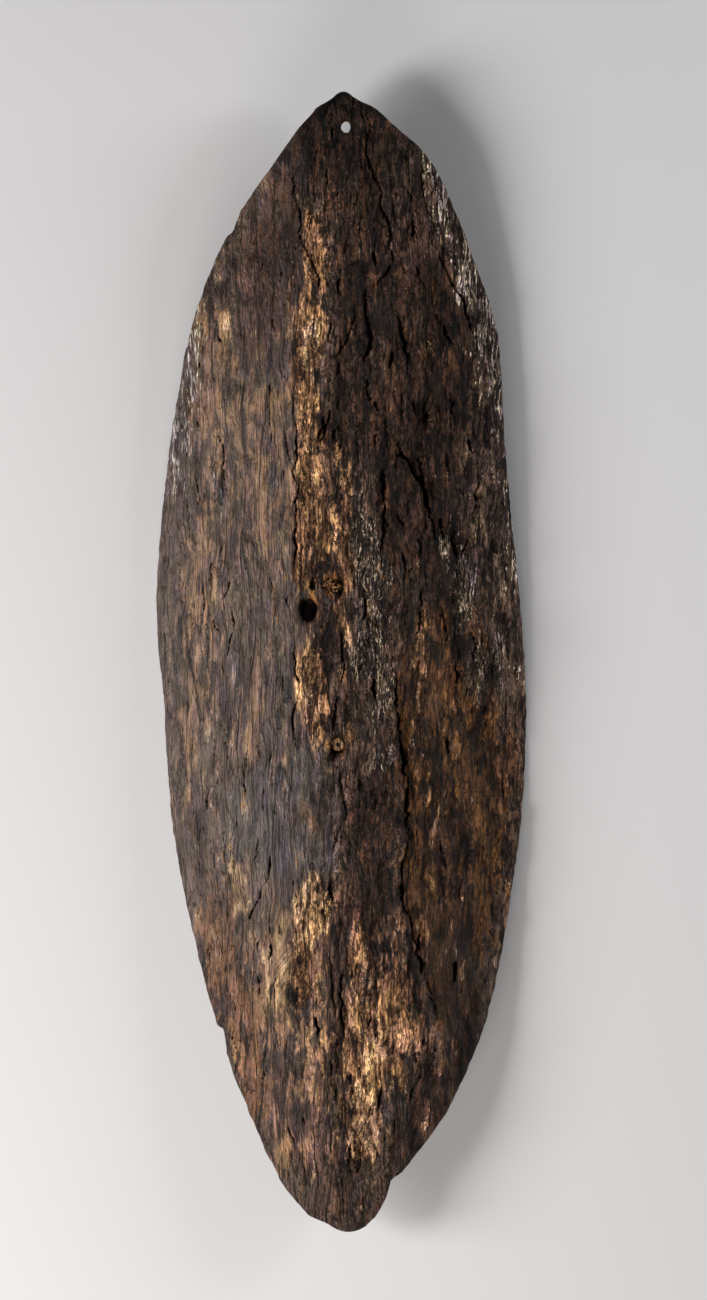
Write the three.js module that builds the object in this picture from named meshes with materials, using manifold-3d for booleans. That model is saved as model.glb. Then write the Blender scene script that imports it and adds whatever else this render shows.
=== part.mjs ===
// A bark shield: one leaf-shaped sheet of tree bark, held from behind by a bent stick.
// Units are millimetres. The shield lies front up on its two long edges, as a loose shield does:
// +X is to the right of the front, +Y points to the sharper tip and +Z is up.
// The origin is on the ground, under the middle of the shield's length and width.
import * as THREE from "three";
import { mergeVertices } from "three/addons/utils/BufferGeometryUtils.js";
import Module from "manifold-3d";

const wasm = await Module();
wasm.setup();

// Overall size of the bark sheet, seen from the front.
const LENGTH = 970;
const WIDTH = 316;

// The sheet keeps the curve of the trunk it was cut from, and has dried with a slight bow.
const TRUNK_RADIUS = 210;
const BOW = 20;
const THICKNESS_MIDDLE = 12;
const THICKNESS_RIM = 7;
const RIM_BULGE = 1.2;

// How much the two lowest stretches of the rim are worn away, flat to the ground.
const RIM_WEAR = 1.6;

// The hole near the sharper tip, by which the shield can be hung.
const HANG_HOLE_FROM_TIP = 30.5;
const HANG_HOLE_X = 4.5;
const HANG_HOLE_WIDTH = 8;
const HANG_HOLE_LENGTH = 10;

// The ragged hole beside the upper end of the handle, with a worn funnel on the front.
const MIDDLE_HOLE_X = -25.5;
const MIDDLE_HOLE_Y = 43;
const MIDDLE_HOLE_WIDTH = 11;
const MIDDLE_HOLE_LENGTH = 14;
const FUNNEL_WIDTH = 19;
const FUNNEL_LENGTH = 30;
const FUNNEL_DEPTH = 5;

// The handle: a green stick bent into a bow, its two ends pushed through the bark.
const HANDLE_TOP_X = -10;
const HANDLE_TOP_Y = 65;
const HANDLE_FOOT_X = -2;
const HANDLE_FOOT_Y = -70;
const STICK_DIAMETER = 15;
const STICK_END_DIAMETER = 11;
const FINGER_GAP = 29;
const STICK_END_SINKS = 1;
const STICK_CLEARANCE = 0.3;
const SOCKET_DEPTH = 3.5;
const SOCKET_MARGIN = 4;

// The cracks are V-shaped grooves down the grain.
const CRACK_WIDTH = 3.2;
const CRACK_DEPTH = 3.4;

// How finely the sheet and the stick are faceted, and how far a cutter starts above the surface.
const SHEET_COLUMNS = 28;
const SHEET_ROWS = 44;
const STICK_SIDES = 10;
const STICK_STEPS = 26;
const HOLE_SIDES = 16;
const CUTTER_LIFT = 3;

const HALF_LENGTH = LENGTH / 2;

// The outline, from the sharper tip to the blunter one. Each row holds a distance from the tip as a
// share of the length, then the reach of the left and right edges as shares of the width.
const OUTLINE = [
  [0.0, 0.012, 0.028],
  [0.01, 0.045, 0.069],
  [0.032, 0.107, 0.147],
  [0.054, 0.155, 0.227],
  [0.098, 0.254, 0.299],
  [0.142, 0.33, 0.352],
  [0.209, 0.405, 0.421],
  [0.3, 0.457, 0.441],
  [0.38, 0.485, 0.464],
  [0.45, 0.5, 0.485],
  [0.55, 0.475, 0.5],
  [0.64, 0.455, 0.486],
  [0.76, 0.382, 0.432],
  [0.83, 0.32, 0.377],
  [0.9, 0.238, 0.274],
  [0.955, 0.156, 0.144],
  [0.985, 0.082, 0.092],
  [1.0, 0.018, 0.062],
];

// The main cracks, from the sharper tip down. Each route is in millimetres from the sheet's middle.
// step is how far the bark on the right of the crack lies below the bark on its left or, where
// negative, how far the left lies below the right, and reach is how far that step takes to fade.
const CRACKS = [
  { route: [[-41, 426], [-35, 386], [-34, 360], [-24, 336], [-15, 307]], step: 1.4, reach: 30 },
  { route: [[22, 472], [24, 445], [30, 413], [44, 348], [34, 328], [21, 307]], step: -1.6, reach: 36 },
  { route: [[21, 307], [25, 282], [24, 260], [12, 251]], step: -1.8, reach: 30 },
  { route: [[50, 292], [54, 267], [57, 246], [60, 231]], step: 1.8, reach: 26 },
  { route: [[-39, 210], [-37, 183], [-42, 170], [-38, 124], [-37, 96], [-42, 70]], step: 1.6, reach: 34 },
  { route: [[-39, 28], [-40, 11], [-37, -14], [-41, -40], [-38, -71]], step: 1.8, reach: 32 },
  { route: [[0, 41], [1, 15], [4, -6], [-3, -31]], step: -1.6, reach: 26 },
  { route: [[-6, -66], [0, -94], [5, -130], [-1, -150], [-9, -172]], step: 0.8, reach: 24 },
  {
    route: [[48, 0], [48, -31], [54, -98], [59, -155], [52, -180], [57, -215], [69, -260], [81, -317]],
    step: 3.2,
    reach: 62,
  },
  { route: [[-14, -236], [-9, -251], [-6, -283], [-5, -305]], step: 0.8, reach: 20 },
];

// Broad swellings and hollows of the bark: place, half-width, half-length and height.
const SWELLS = [
  { x: 118, y: 8, across: 22, along: 34, height: 3.2 },
  { x: 88, y: 150, across: 24, along: 60, height: 2.4 },
  { x: -96, y: -40, across: 34, along: 130, height: 1.8 },
  { x: 10, y: 200, across: 26, along: 70, height: -1.8 },
  { x: -10, y: -360, across: 40, along: 60, height: 1.8 },
  { x: 84, y: -190, across: 20, along: 70, height: -1.6 },
];

// Nicks broken out of the rim, each a step that slopes back out to the rim: the step's distance
// from the tip as a share of the length, its side, how far in it goes, and how far the slope runs
// towards the blunter tip, or towards the sharper one where negative.
const NICKS = [
  { share: 0.125, side: -1, depth: 3.4, run: -20 },
  { share: 0.82, side: -1, depth: 4.2, run: 24 },
  { share: 0.952, side: 1, depth: 4.2, run: 16 },
];

// The carving is laid out on a sheet of this size, and stretched with the sheet.
const LAYOUT_WIDTH = 316;
const LAYOUT_LENGTH = 970;
const acrossScale = WIDTH / LAYOUT_WIDTH;
const alongScale = LENGTH / LAYOUT_LENGTH;

const yAtShare = (share) => HALF_LENGTH - share * LENGTH;

const smooth = (low, high, value) => THREE.MathUtils.smoothstep(value, low, high);

// A smooth curve through rows of [key, value ...], read at one key. Column 1 is the first value.
function curveThrough(rows, column, key) {
  let i = rows.findIndex((row) => row[0] >= key);
  i = THREE.MathUtils.clamp(i < 0 ? rows.length - 1 : i, 1, rows.length - 1);
  const slope = (a, b) => (rows[b][column] - rows[a][column]) / (rows[b][0] - rows[a][0]);
  const tangent = (k) => slope(Math.max(k - 1, 0), Math.min(k + 1, rows.length - 1));
  const [start, end] = [rows[i - 1], rows[i]];
  const span = end[0] - start[0];
  const t = THREE.MathUtils.clamp((key - start[0]) / span, 0, 1);
  const [t2, t3] = [t * t, t * t * t];
  return (
    (2 * t3 - 3 * t2 + 1) * start[column] +
    (t3 - 2 * t2 + t) * span * tangent(i - 1) +
    (3 * t2 - 2 * t3) * end[column] +
    (t3 - t2) * span * tangent(i)
  );
}

const leftEdge = (y) => -WIDTH * curveThrough(OUTLINE, 1, (HALF_LENGTH - y) / LENGTH);
const rightEdge = (y) => WIDTH * curveThrough(OUTLINE, 2, (HALF_LENGTH - y) / LENGTH);

// How far the sheet falls away from its crown, across by the trunk's curve and along by the bow.
const arcDrop = (x, radius) => radius - Math.sqrt(Math.max(radius * radius - x * x, 0));
const bowDrop = (y) => BOW * (y / HALF_LENGTH) ** 2;

// Where a crack lies across the sheet, at one place along it.
function crackX(route, y) {
  const rows = route.map(([x, at]) => [-at, x]);
  const i = rows.findIndex((row) => row[0] >= -y);
  const [a, b] = [rows[Math.max(i - 1, 0)], rows[Math.max(i, 1)]];
  return a[1] + ((b[1] - a[1]) * (-y - a[0])) / (b[0] - a[0]);
}

// The carving of the bark's front: swellings, and the steps where a layer has come away.
function relief(x, y) {
  const [across, along] = [x / acrossScale, y / alongScale];
  let height = 0;
  for (const swell of SWELLS) {
    const far = ((across - swell.x) / swell.across) ** 2 + ((along - swell.y) / swell.along) ** 2;
    height += swell.height * Math.exp(-far);
  }
  for (const { route, step, reach } of CRACKS) {
    const [top, bottom] = [route[0][1], route[route.length - 1][1]];
    if (along > top || along < bottom) continue;
    const away = across - crackX(route, along);
    const ends = smooth(0, reach / 2, top - along) * smooth(0, reach / 2, along - bottom);
    const side = step > 0 ? away : -away;
    if (side > 0) height -= Math.abs(step) * ends * (1 - smooth(0, reach, side));
  }
  return height;
}

// The lowest point of the back's rim when the crown is at zero, which sets the crown's height.
let lowest = 0;
for (let row = 0; row <= SHEET_ROWS; row++) {
  const y = yAtShare(row / SHEET_ROWS);
  for (const x of [leftEdge(y), rightEdge(y)]) {
    const turn = Math.asin(x / TRUNK_RADIUS);
    lowest = Math.min(lowest, -arcDrop(x, TRUNK_RADIUS) - bowDrop(y) - THICKNESS_RIM * Math.cos(turn));
  }
}
const CROWN = -lowest - RIM_WEAR;

const frontZ = (x, y) => CROWN - arcDrop(x, TRUNK_RADIUS) - bowDrop(y) + relief(x, y);
const backZ = (x, y) => CROWN - arcDrop(x, TRUNK_RADIUS) - bowDrop(y) - THICKNESS_MIDDLE;

// Closed blanks are made into solids once their shared corners are merged.
function solid(geometry) {
  for (const name of ["normal", "uv"]) geometry.deleteAttribute(name);
  const merged = mergeVertices(geometry, 1e-4);
  return new wasm.Manifold(
    new wasm.Mesh({
      numProp: 3,
      vertProperties: merged.attributes.position.array,
      triVerts: new Uint32Array(merged.index.array),
    }),
  );
}

// Moves every corner of a blank to the place that the function says.
function reshape(blank, place) {
  const corners = blank.attributes.position;
  const corner = new THREE.Vector3();
  for (let i = 0; i < corners.count; i++) {
    place(corner.fromBufferAttribute(corners, i));
    corners.setXYZ(i, corner.x, corner.y, corner.z);
  }
  return blank;
}

// The bark sheet: a flat slab from -1 to 1 each way, bent, thinned to its rim and cut to outline.
function barkSheet() {
  const slab = new THREE.BoxGeometry(2, 2, 2, SHEET_COLUMNS, SHEET_ROWS, 2);
  return reshape(slab, (corner) => {
    const [u, v, w] = corner.toArray();
    const y = HALF_LENGTH * (1.2 * v - 0.2 * v ** 3);
    const [left, right] = [leftEdge(y), rightEdge(y)];
    const x = left + ((right - left) * (u + 1)) / 2;
    const body = (1 - u ** 4) * (1 - v ** 8);
    const thickness = THICKNESS_RIM + (THICKNESS_MIDDLE - THICKNESS_RIM) * body;
    const depth = (thickness * (1 - w)) / 2;
    const turn = Math.asin(THREE.MathUtils.clamp(x / TRUNK_RADIUS, -1, 1));
    const sideBulge = Math.abs(u) === 1 ? RIM_BULGE * (1 - w * w) * u : 0;
    const tipInset = Math.abs(v) === 1 ? RIM_BULGE * w * w * v : 0;
    const carved = (relief(x, y) * (w + 1)) / 2;
    corner.set(
      x - depth * Math.sin(turn) + sideBulge,
      y - tipInset,
      CROWN - arcDrop(x, TRUNK_RADIUS) - bowDrop(y) + carved - depth * Math.cos(turn),
    );
  });
}

// A V-shaped cutter along one crack, wide at the front and closing to a point at both ends.
function crackCutter({ route }) {
  const steps = 3 * (route.length - 1);
  const blank = new THREE.CylinderGeometry(1, 1, 2, 3, steps, false, Math.PI);
  const [top, bottom] = [route[0][1], route[route.length - 1][1]];
  return reshape(blank, (corner) => {
    const share = (1 - corner.y) / 2;
    const along = top + (bottom - top) * share;
    const [x, y] = [crackX(route, along) * acrossScale, along * alongScale];
    const open = Math.sin(Math.PI * THREE.MathUtils.clamp(share, 0.04, 0.96)) ** 0.6;
    const atFront = corner.z > 0;
    const half = (CRACK_WIDTH / 2) * open * (1 + CUTTER_LIFT / CRACK_DEPTH);
    const z = frontZ(x, y) + (atFront ? CUTTER_LIFT : -CRACK_DEPTH * open);
    corner.set(x + (atFront ? Math.sign(corner.x) * half : 0), y, z);
  });
}

// An upright oval pin that pierces the sheet.
function ovalPin(x, y, width, length) {
  const tall = 2 * (CROWN + THICKNESS_MIDDLE);
  const pin = new THREE.CylinderGeometry(0.5, 0.5, tall, HOLE_SIDES);
  return pin.rotateX(Math.PI / 2).scale(width, length, 1).translate(x, y, CROWN / 2);
}

// A shallow oval bowl sunk into the front, as deep as it says.
function bowl(x, y, width, length, depth) {
  const ball = new THREE.SphereGeometry(0.5, HOLE_SIDES, 8);
  return ball.scale(width, length, 2 * depth).translate(x, y, frontZ(x, y));
}

// A block that breaks one nick out of the rim.
function nickCutter({ share, side, depth, run }) {
  const y = yAtShare(share);
  const edge = side < 0 ? leftEdge : rightEdge;
  const slopeEnd = edge(y - run) - edge(y);
  const clear = side * (2 * depth + Math.abs(slopeEnd));
  const outline = new THREE.Shape([
    new THREE.Vector2(-side * depth, 0),
    new THREE.Vector2(clear, 0),
    new THREE.Vector2(clear, -run),
    new THREE.Vector2(slopeEnd, -run),
  ]);
  const tall = 2 * (CROWN + THICKNESS_MIDDLE);
  const block = new THREE.ExtrudeGeometry(outline, { depth: tall, bevelEnabled: false });
  return block.translate(edge(y), y, -tall / 2);
}

// The line of the bent stick, from its upper end on the front, round the grip, to its lower end.
function stickLine() {
  const top = new THREE.Vector3(HANDLE_TOP_X, HANDLE_TOP_Y, 0);
  const foot = new THREE.Vector3(HANDLE_FOOT_X, HANDLE_FOOT_Y, 0);
  const at = (share, z) => top.clone().lerp(foot, share).setZ(z);
  const front = (end) => frontZ(end.x, end.y) - STICK_END_SINKS;
  const back = (end) => backZ(end.x, end.y);
  const grip = backZ(HANDLE_FOOT_X, 0) - FINGER_GAP - STICK_DIAMETER / 2;
  const shoulder = (end) => (back(end) + 2 * grip) / 3;
  const points = [
    at(0, front(top)),
    at(0, back(top)),
    at(0.03, shoulder(top)),
    at(0.14, grip + STICK_DIAMETER / 7),
    at(0.32, grip),
    at(0.5, grip),
    at(0.7, grip),
    at(0.87, grip + STICK_DIAMETER / 6),
    at(0.97, shoulder(foot)),
    at(1, back(foot)),
    at(1, front(foot)),
  ];
  return new THREE.CatmullRomCurve3(points, false, "centripetal");
}

// The bent stick, thinner where it enters the bark, or with a margin the way it needs through
// the bark and out at the front.
function stick(margin = 0) {
  const line = stickLine();
  const across = new THREE.Vector3(HANDLE_TOP_Y - HANDLE_FOOT_Y, HANDLE_FOOT_X - HANDLE_TOP_X, 0);
  across.normalize();
  const blank = new THREE.CylinderGeometry(1, 1, 2, STICK_SIDES, STICK_STEPS);
  return reshape(blank, (corner) => {
    const share = (1 - corner.y) / 2;
    const point = line.getPointAt(share);
    const tangent = line.getTangentAt(share);
    const outward = tangent.clone().cross(across);
    const swell = smooth(0.12, 0.3, share) * smooth(0.12, 0.3, 1 - share);
    const thick = STICK_END_DIAMETER + (STICK_DIAMETER - STICK_END_DIAMETER) * swell;
    const radius = thick / 2 + margin;
    const [sideways, lift] = [corner.x * radius, corner.z * radius];
    corner.copy(point).addScaledVector(across, sideways).addScaledVector(outward, lift);
    if (margin > 0 && (share === 0 || share === 1)) corner.z += THICKNESS_MIDDLE;
  });
}

// The splintered dip in the front round an end of the stick.
function endSocket(x, y) {
  const wide = STICK_END_DIAMETER + SOCKET_MARGIN;
  return bowl(x, y, wide, wide * 1.25, SOCKET_DEPTH);
}

function shieldSolid() {
  const cutters = [
    ...CRACKS.map(crackCutter),
    ...NICKS.map(nickCutter),
    ovalPin(HANG_HOLE_X, HALF_LENGTH - HANG_HOLE_FROM_TIP, HANG_HOLE_WIDTH, HANG_HOLE_LENGTH),
    ovalPin(MIDDLE_HOLE_X, MIDDLE_HOLE_Y, MIDDLE_HOLE_WIDTH, MIDDLE_HOLE_LENGTH),
    bowl(MIDDLE_HOLE_X, MIDDLE_HOLE_Y + 2, FUNNEL_WIDTH, FUNNEL_LENGTH, FUNNEL_DEPTH),
    endSocket(HANDLE_TOP_X, HANDLE_TOP_Y),
    endSocket(HANDLE_FOOT_X, HANDLE_FOOT_Y),
    stick(STICK_CLEARANCE),
    new THREE.BoxGeometry(2 * WIDTH, 2 * LENGTH, 4 * CROWN).translate(0, 0, -2 * CROWN),
  ];
  return cutters.reduce((sheet, cutter) => sheet.subtract(solid(cutter)), solid(barkSheet()));
}

function named(name, shape, material) {
  const { vertProperties, triVerts } = shape.getMesh();
  const geometry = new THREE.BufferGeometry();
  geometry.setAttribute("position", new THREE.BufferAttribute(vertProperties, 3));
  geometry.setIndex(new THREE.BufferAttribute(triVerts, 1));
  geometry.computeVertexNormals();
  const mesh = new THREE.Mesh(geometry, material);
  mesh.name = name;
  return mesh;
}

const bark = new THREE.MeshStandardMaterial({ color: 0x4a3424, roughness: 0.62, metalness: 0 });
const peeledStick = new THREE.MeshStandardMaterial({ color: 0x6b4a2c, roughness: 0.55, metalness: 0 });

const shield = new THREE.Group();
shield.add(named("bark_sheet", shieldSolid(), bark));
shield.add(named("handle", solid(stick()), peeledStick));

export default shield;
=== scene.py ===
# %% [markdown]
# # A bark shield, finished in Blender
#
# The real object is one leaf-shaped sheet of thick bark, taken from the trunk of a tree in one
# piece, smoked and dried into a shallow gutter, and worn by the hand and the weather until the
# outer crust has come away in places. A green stick was bent into a bow behind it and its two
# ends were pushed through the bark, where they still show on the front.
#
# The solid model already holds the sizes, the outline and the main cracks. This file gives the
# two pieces their surface: finer cracks, layers, fibres, colours and wear. Everything is made by
# code, in the same frame as the solid model, so nothing has to be fitted afterwards.

# %% Load the solid model as a fixed frame
import math

import bmesh
import bpy
import numpy as np
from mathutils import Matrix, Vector


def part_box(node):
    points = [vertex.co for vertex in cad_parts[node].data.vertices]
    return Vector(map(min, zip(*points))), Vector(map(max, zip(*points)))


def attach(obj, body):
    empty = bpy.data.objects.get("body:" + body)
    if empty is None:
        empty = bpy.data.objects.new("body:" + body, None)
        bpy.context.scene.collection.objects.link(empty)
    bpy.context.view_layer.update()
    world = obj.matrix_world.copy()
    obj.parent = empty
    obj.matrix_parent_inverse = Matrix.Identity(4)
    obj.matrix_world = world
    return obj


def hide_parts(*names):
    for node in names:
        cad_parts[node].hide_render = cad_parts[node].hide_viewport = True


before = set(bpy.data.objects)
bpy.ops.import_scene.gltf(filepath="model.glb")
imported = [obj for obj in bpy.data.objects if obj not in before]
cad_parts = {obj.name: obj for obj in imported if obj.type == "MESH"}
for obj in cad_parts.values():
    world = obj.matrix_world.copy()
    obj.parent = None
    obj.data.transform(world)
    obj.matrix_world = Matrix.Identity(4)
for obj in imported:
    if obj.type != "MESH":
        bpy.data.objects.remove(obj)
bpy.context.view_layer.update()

MM = 0.001

# %% [markdown]
# ## Sizes
#
# The sheet keeps the round of the trunk it came from and a slight bow along its length. These few
# sizes describe that form. The length, the height of the crown and the outline aren't typed in
# again: they are measured on the solid model, so the dressed sheet can't drift away from it.
# All lengths in this file are in millimetres, until the last step of each piece turns them
# into metres.

# %% Measure the sheet
TRUNK_RADIUS = 210
BOW = 20
THICKNESS_MIDDLE = 12
THICKNESS_RIM = 7
RIM_BULGE = 1.2

sheet_low, sheet_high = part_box("bark_sheet")
HALF_LENGTH = (sheet_high.y - sheet_low.y) / MM / 2


def arc_drop(x):
    """How far the trunk's round falls away from its crown, at x across."""
    return TRUNK_RADIUS - np.sqrt(np.maximum(TRUNK_RADIUS**2 - np.square(x), 0))


def bow_drop(y):
    """How far the bow along the length falls away from the middle, at y along."""
    return BOW * np.square(y / HALF_LENGTH)


def crown_height(probe_y=-200):
    """Height of the front's crown, from the plain back of the solid above the floor."""
    hit, place, _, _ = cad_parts["bark_sheet"].ray_cast((0, probe_y * MM, -1), (0, 0, 1))
    return place.z / MM + bow_drop(probe_y) + THICKNESS_MIDDLE


CROWN = crown_height()
print("half length", round(HALF_LENGTH, 1), "crown", round(CROWN, 2))

# %% [markdown]
# ## The outline
#
# The outline of the real sheet was cut by eye, so its two sides differ and its edge is ragged.
# To follow it exactly, the solid is cut by many planes across the grain and the outermost points
# of each cut are kept. That gives the reach of both edges at any place along the sheet.

# %% Measure the two long edges
EDGE_SAMPLES = 400


def measured_edges(node):
    """The places along the sheet, and the reach of the left and right edges at each."""
    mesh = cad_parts[node].data
    points = np.empty(len(mesh.vertices) * 3)
    mesh.vertices.foreach_get("co", points)
    points = points.reshape(-1, 3) / MM
    ends = np.empty(len(mesh.edges) * 2, int)
    mesh.edges.foreach_get("vertices", ends)
    start, end = points[ends[0::2]], points[ends[1::2]]
    places = np.linspace(-HALF_LENGTH + 0.2, HALF_LENGTH - 0.2, EDGE_SAMPLES)
    left, right = [], []
    for place in places:
        crossing = (start[:, 1] - place) * (end[:, 1] - place) < 0
        a, b = start[crossing], end[crossing]
        share = (place - a[:, 1]) / (b[:, 1] - a[:, 1])
        across = a[:, 0] + share * (b[:, 0] - a[:, 0])
        left.append(across.min())
        right.append(across.max())
    return places, np.array(left), np.array(right)


edge_places, edge_left, edge_right = measured_edges("bark_sheet")
edge_widths = edge_right - edge_left
print("widest", round(edge_widths.max(), 1), "at", round(edge_places[edge_widths.argmax()]))

# %% [markdown]
# ## Helpers: soft steps and grown patterns
#
# Bark is irregular, but not random: its marks are long with the grain and narrow across it.
# `mottle` gives a soft, repeatable pattern whose blobs can be stretched, and `flakes` gives a
# field of irregular scales with the distance to the nearest edge between two of them.

# %% Pattern helpers
LATTICE = 256


def smooth(low, high, value):
    """A soft step from 0 to 1 between two values."""
    share = np.clip((value - low) / (high - low), 0, 1)
    return share * share * (3 - 2 * share)


def mottle(x, y, seed, layers=1):
    """Soft swelling between about -1 and 1, with blobs about one unit of x and y in size."""
    total = np.zeros(np.broadcast(x, y).shape)
    for layer in range(layers):
        turns = np.random.default_rng(seed + layer).uniform(0, 2 * np.pi, (LATTICE, LATTICE))
        px, py = np.broadcast_arrays(x * 2**layer, y * 2**layer)
        cell_x, cell_y = np.floor(px).astype(int), np.floor(py).astype(int)
        fx, fy = px - cell_x, py - cell_y

        def corner(right, up):
            turn = turns[(cell_x + right) % LATTICE, (cell_y + up) % LATTICE]
            return np.cos(turn) * (fx - right) + np.sin(turn) * (fy - up)

        ease_x, ease_y = smooth(0, 1, fx), smooth(0, 1, fy)
        low = corner(0, 0) * (1 - ease_x) + corner(1, 0) * ease_x
        high = corner(0, 1) * (1 - ease_x) + corner(1, 1) * ease_x
        total += (low * (1 - ease_y) + high * ease_y) * 1.6 / 1.8**layer
    return total


def flakes(x, y, seed):
    """Irregular scales of about one unit: a leaning height of about 0 to 1, and the way to the edge."""
    rng = np.random.default_rng(seed)
    jitter = rng.uniform(0.1, 0.9, (LATTICE, LATTICE, 2))
    numbers = rng.uniform(0, 1, (LATTICE, LATTICE))
    leans = rng.normal(0, 0.7, (LATTICE, LATTICE))
    cell_x, cell_y = np.floor(x).astype(int), np.floor(y).astype(int)
    nearest = np.full(x.shape, 9.0)
    second = np.full(x.shape, 9.0)
    number = np.zeros(x.shape)
    for right in (-1, 0, 1):
        for up in (-1, 0, 1):
            i, j = (cell_x + right) % LATTICE, (cell_y + up) % LATTICE
            aside = x - cell_x - right - jitter[i, j, 0]
            far = np.hypot(aside, cell_y + up + jitter[i, j, 1] - y)
            closer = far < nearest
            second = np.where(closer, nearest, np.minimum(second, far))
            number = np.where(closer, numbers[i, j] + leans[i, j] * aside, number)
            nearest = np.where(closer, far, nearest)
    return number, second - nearest


# %% [markdown]
# ## The cracks
#
# As the sheet dried it split down the grain, and the layer on one side of a split often lies
# lower than on the other. Each main crack is a route from the sharper tip downwards, with the
# width and depth of its groove and the step beside it: positive where the right side is lower.
# The crevices are the short, deep ends of torn plates on the rough side, and the short splits are
# only narrow grooves. The routes are listed one by one; their ragged edges come from `jagged`.

# %% Routes of the cracks
MAIN_CRACKS = [
    dict(route=[(-40, 422), (-40, 402), (-36, 385), (-34, 362), (-28, 346), (-20, 326), (-15, 308)],
         wide=1.5, deep=3.2, step=1.4, reach=30),
    dict(route=[(20, 473), (25, 456), (22, 441), (24, 425), (30, 411), (36, 400), (34, 388), (40, 377),
                (43, 364), (42, 352), (45, 342), (39, 331), (29, 320), (20, 308)],
         wide=1.5, deep=3.2, step=-1.6, reach=36),
    dict(route=[(27, 324), (21, 310), (21, 296), (25, 280), (25, 266), (20, 256), (10, 247)],
         wide=2.8, deep=3.0, step=-2.4, reach=30),
    dict(route=[(48, 303), (50, 290), (54, 270), (57, 252), (60, 232)],
         wide=2.8, deep=3.2, step=2.2, reach=26),
    dict(route=[(-44, 243), (-40, 222), (-40, 210), (-37, 183), (-40, 162), (-37, 148), (-39, 124),
                (-38, 96), (-41, 70)],
         wide=1.4, deep=2.6, step=0.8, reach=34),
    dict(route=[(-39, 28), (-40, 11), (-39, -5), (-37, -19), (-34, -25), (-41, -39), (-41, -52), (-38, -80)],
         wide=1.5, deep=3.2, step=1.8, reach=32),
    dict(route=[(0, 41), (1, 15), (4, -4), (1, -18), (-3, -33), (-6, -55), (-6, -62)],
         wide=1.6, deep=3.2, step=-1.8, reach=26),
    dict(route=[(-7, -76), (-4, -86), (0, -97), (2, -115), (6, -130), (-1, -140), (-9, -172)],
         wide=1.3, deep=2.6, step=1.0, reach=24),
    dict(route=[(48, 2), (47, -31), (51, -70), (55, -98), (57, -125), (59, -155), (52, -178), (51, -190),
                (54, -205), (58, -216), (64, -238), (69, -260), (76, -280), (81, -300), (81, -318)],
         wide=3.3, deep=4.0, step=3.6, reach=62),
    dict(route=[(-14, -236), (-9, -251), (-8, -270), (-6, -290), (-3, -305), (1, -316)],
         wide=1.2, deep=2.4, step=1.0, reach=20),
    dict(route=[(45, 196), (50, 180), (58, 168), (66, 156), (74, 138), (78, 120), (79, 98)],
         wide=4.4, deep=4.2, step=2.4, reach=24),
    dict(route=[(37, 172), (36, 140), (38, 122), (45, 106)], wide=3.2, deep=3.4, step=-1.8, reach=16),
    dict(route=[(69, 72), (68, 50), (66, 36), (65, 12)], wide=2.8, deep=3.2, step=1.8, reach=12),
    dict(route=[(80, 64), (84, 46), (90, 30), (91, 10)], wide=2.4, deep=3.0, step=-1.8, reach=12),
    dict(route=[(13, 300), (12, 288), (6, 274), (-2, 262), (-6, 250)],
         wide=1.6, deep=2.4, step=-1.4, reach=14),
    dict(route=[(-7, 218), (-12, 204), (-18, 194), (-20, 182)], wide=3.0, deep=3.2, step=1.2, reach=12),
    dict(route=[(-60, 244), (-61, 226), (-62, 205)], wide=1.2, deep=1.8, step=0.8, reach=14),
    dict(route=[(70, 432), (68, 410), (72, 392), (80, 368), (86, 350)],
         wide=1.5, deep=2.2, step=1.2, reach=14),
    dict(route=[(-70, -262), (-71, -278), (-69, -292)], wide=1.2, deep=2.0, step=1.0, reach=9),
    dict(route=[(-57, -262), (-56, -276), (-57, -290)], wide=1.2, deep=2.0, step=-1.0, reach=7),
    dict(route=[(60, -320), (64, -340), (67, -352), (60, -368), (55, -382)],
         wide=1.6, deep=2.4, step=1.2, reach=14),
]

# the torn plates of the rough side end in short deep crevices
CREVICES = [
    [(45, 183), (49, 160)], [(63, 182), (69, 162), (70, 150), (75, 139)], [(35, 126), (36, 109), (34, 88)],
    [(47, 130), (49, 121), (57, 111)], [(89, 182), (91, 164), (95, 153)], [(64, 112), (69, 97), (67, 84)],
    [(-2, 204), (-7, 192), (1, 182), (-3, 171)], [(34, 198), (29, 192), (28, 178)], [(-13, 214), (-17, 181)],
    [(18, 249), (25, 226), (39, 202)], [(55, 232), (64, 214), (66, 196)], [(74, 304), (89, 284), (97, 264)],
    [(82, 362), (86, 338), (104, 309), (111, 280), (124, 266)], [(-9, -183), (-8, -209)],
    [(3, -255), (0, -286), (3, -315), (-4, -325)], [(99, 118), (95, 104), (101, 84)], [(108, 106), (104, 88)],
    [(84, 128), (88, 110), (86, 96)], [(52, 98), (55, 80), (52, 62)], [(95, 8), (99, -12), (97, -30)],
    [(106, 30), (112, 12), (109, -8)], [(20, 68), (22, 44), (18, 24)], [(30, 8), (27, -18), (31, -40)],
    [(76, 236), (73, 214), (79, 196)], [(96, 232), (93, 208), (98, 190)], [(44, 268), (41, 246)],
    [(116, 150), (114, 124)], [(108, 196), (111, 172)], [(28, 352), (31, 330)], [(62, 380), (60, 356)],
    [(-3, 330), (0, 308)], [(90, -60), (94, -84)], [(70, -228), (66, -250)], [(99, -250), (96, -280)],
    [(34, -360), (30, -384)], [(-22, -296), (-18, -322)], [(-44, -392), (-40, -412)],
    [(52, -430), (47, -446)],
]
CREVICE = dict(wide=2.5, deep=2.8, reach=11)
CREVICE_STEP = 1.5

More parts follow.
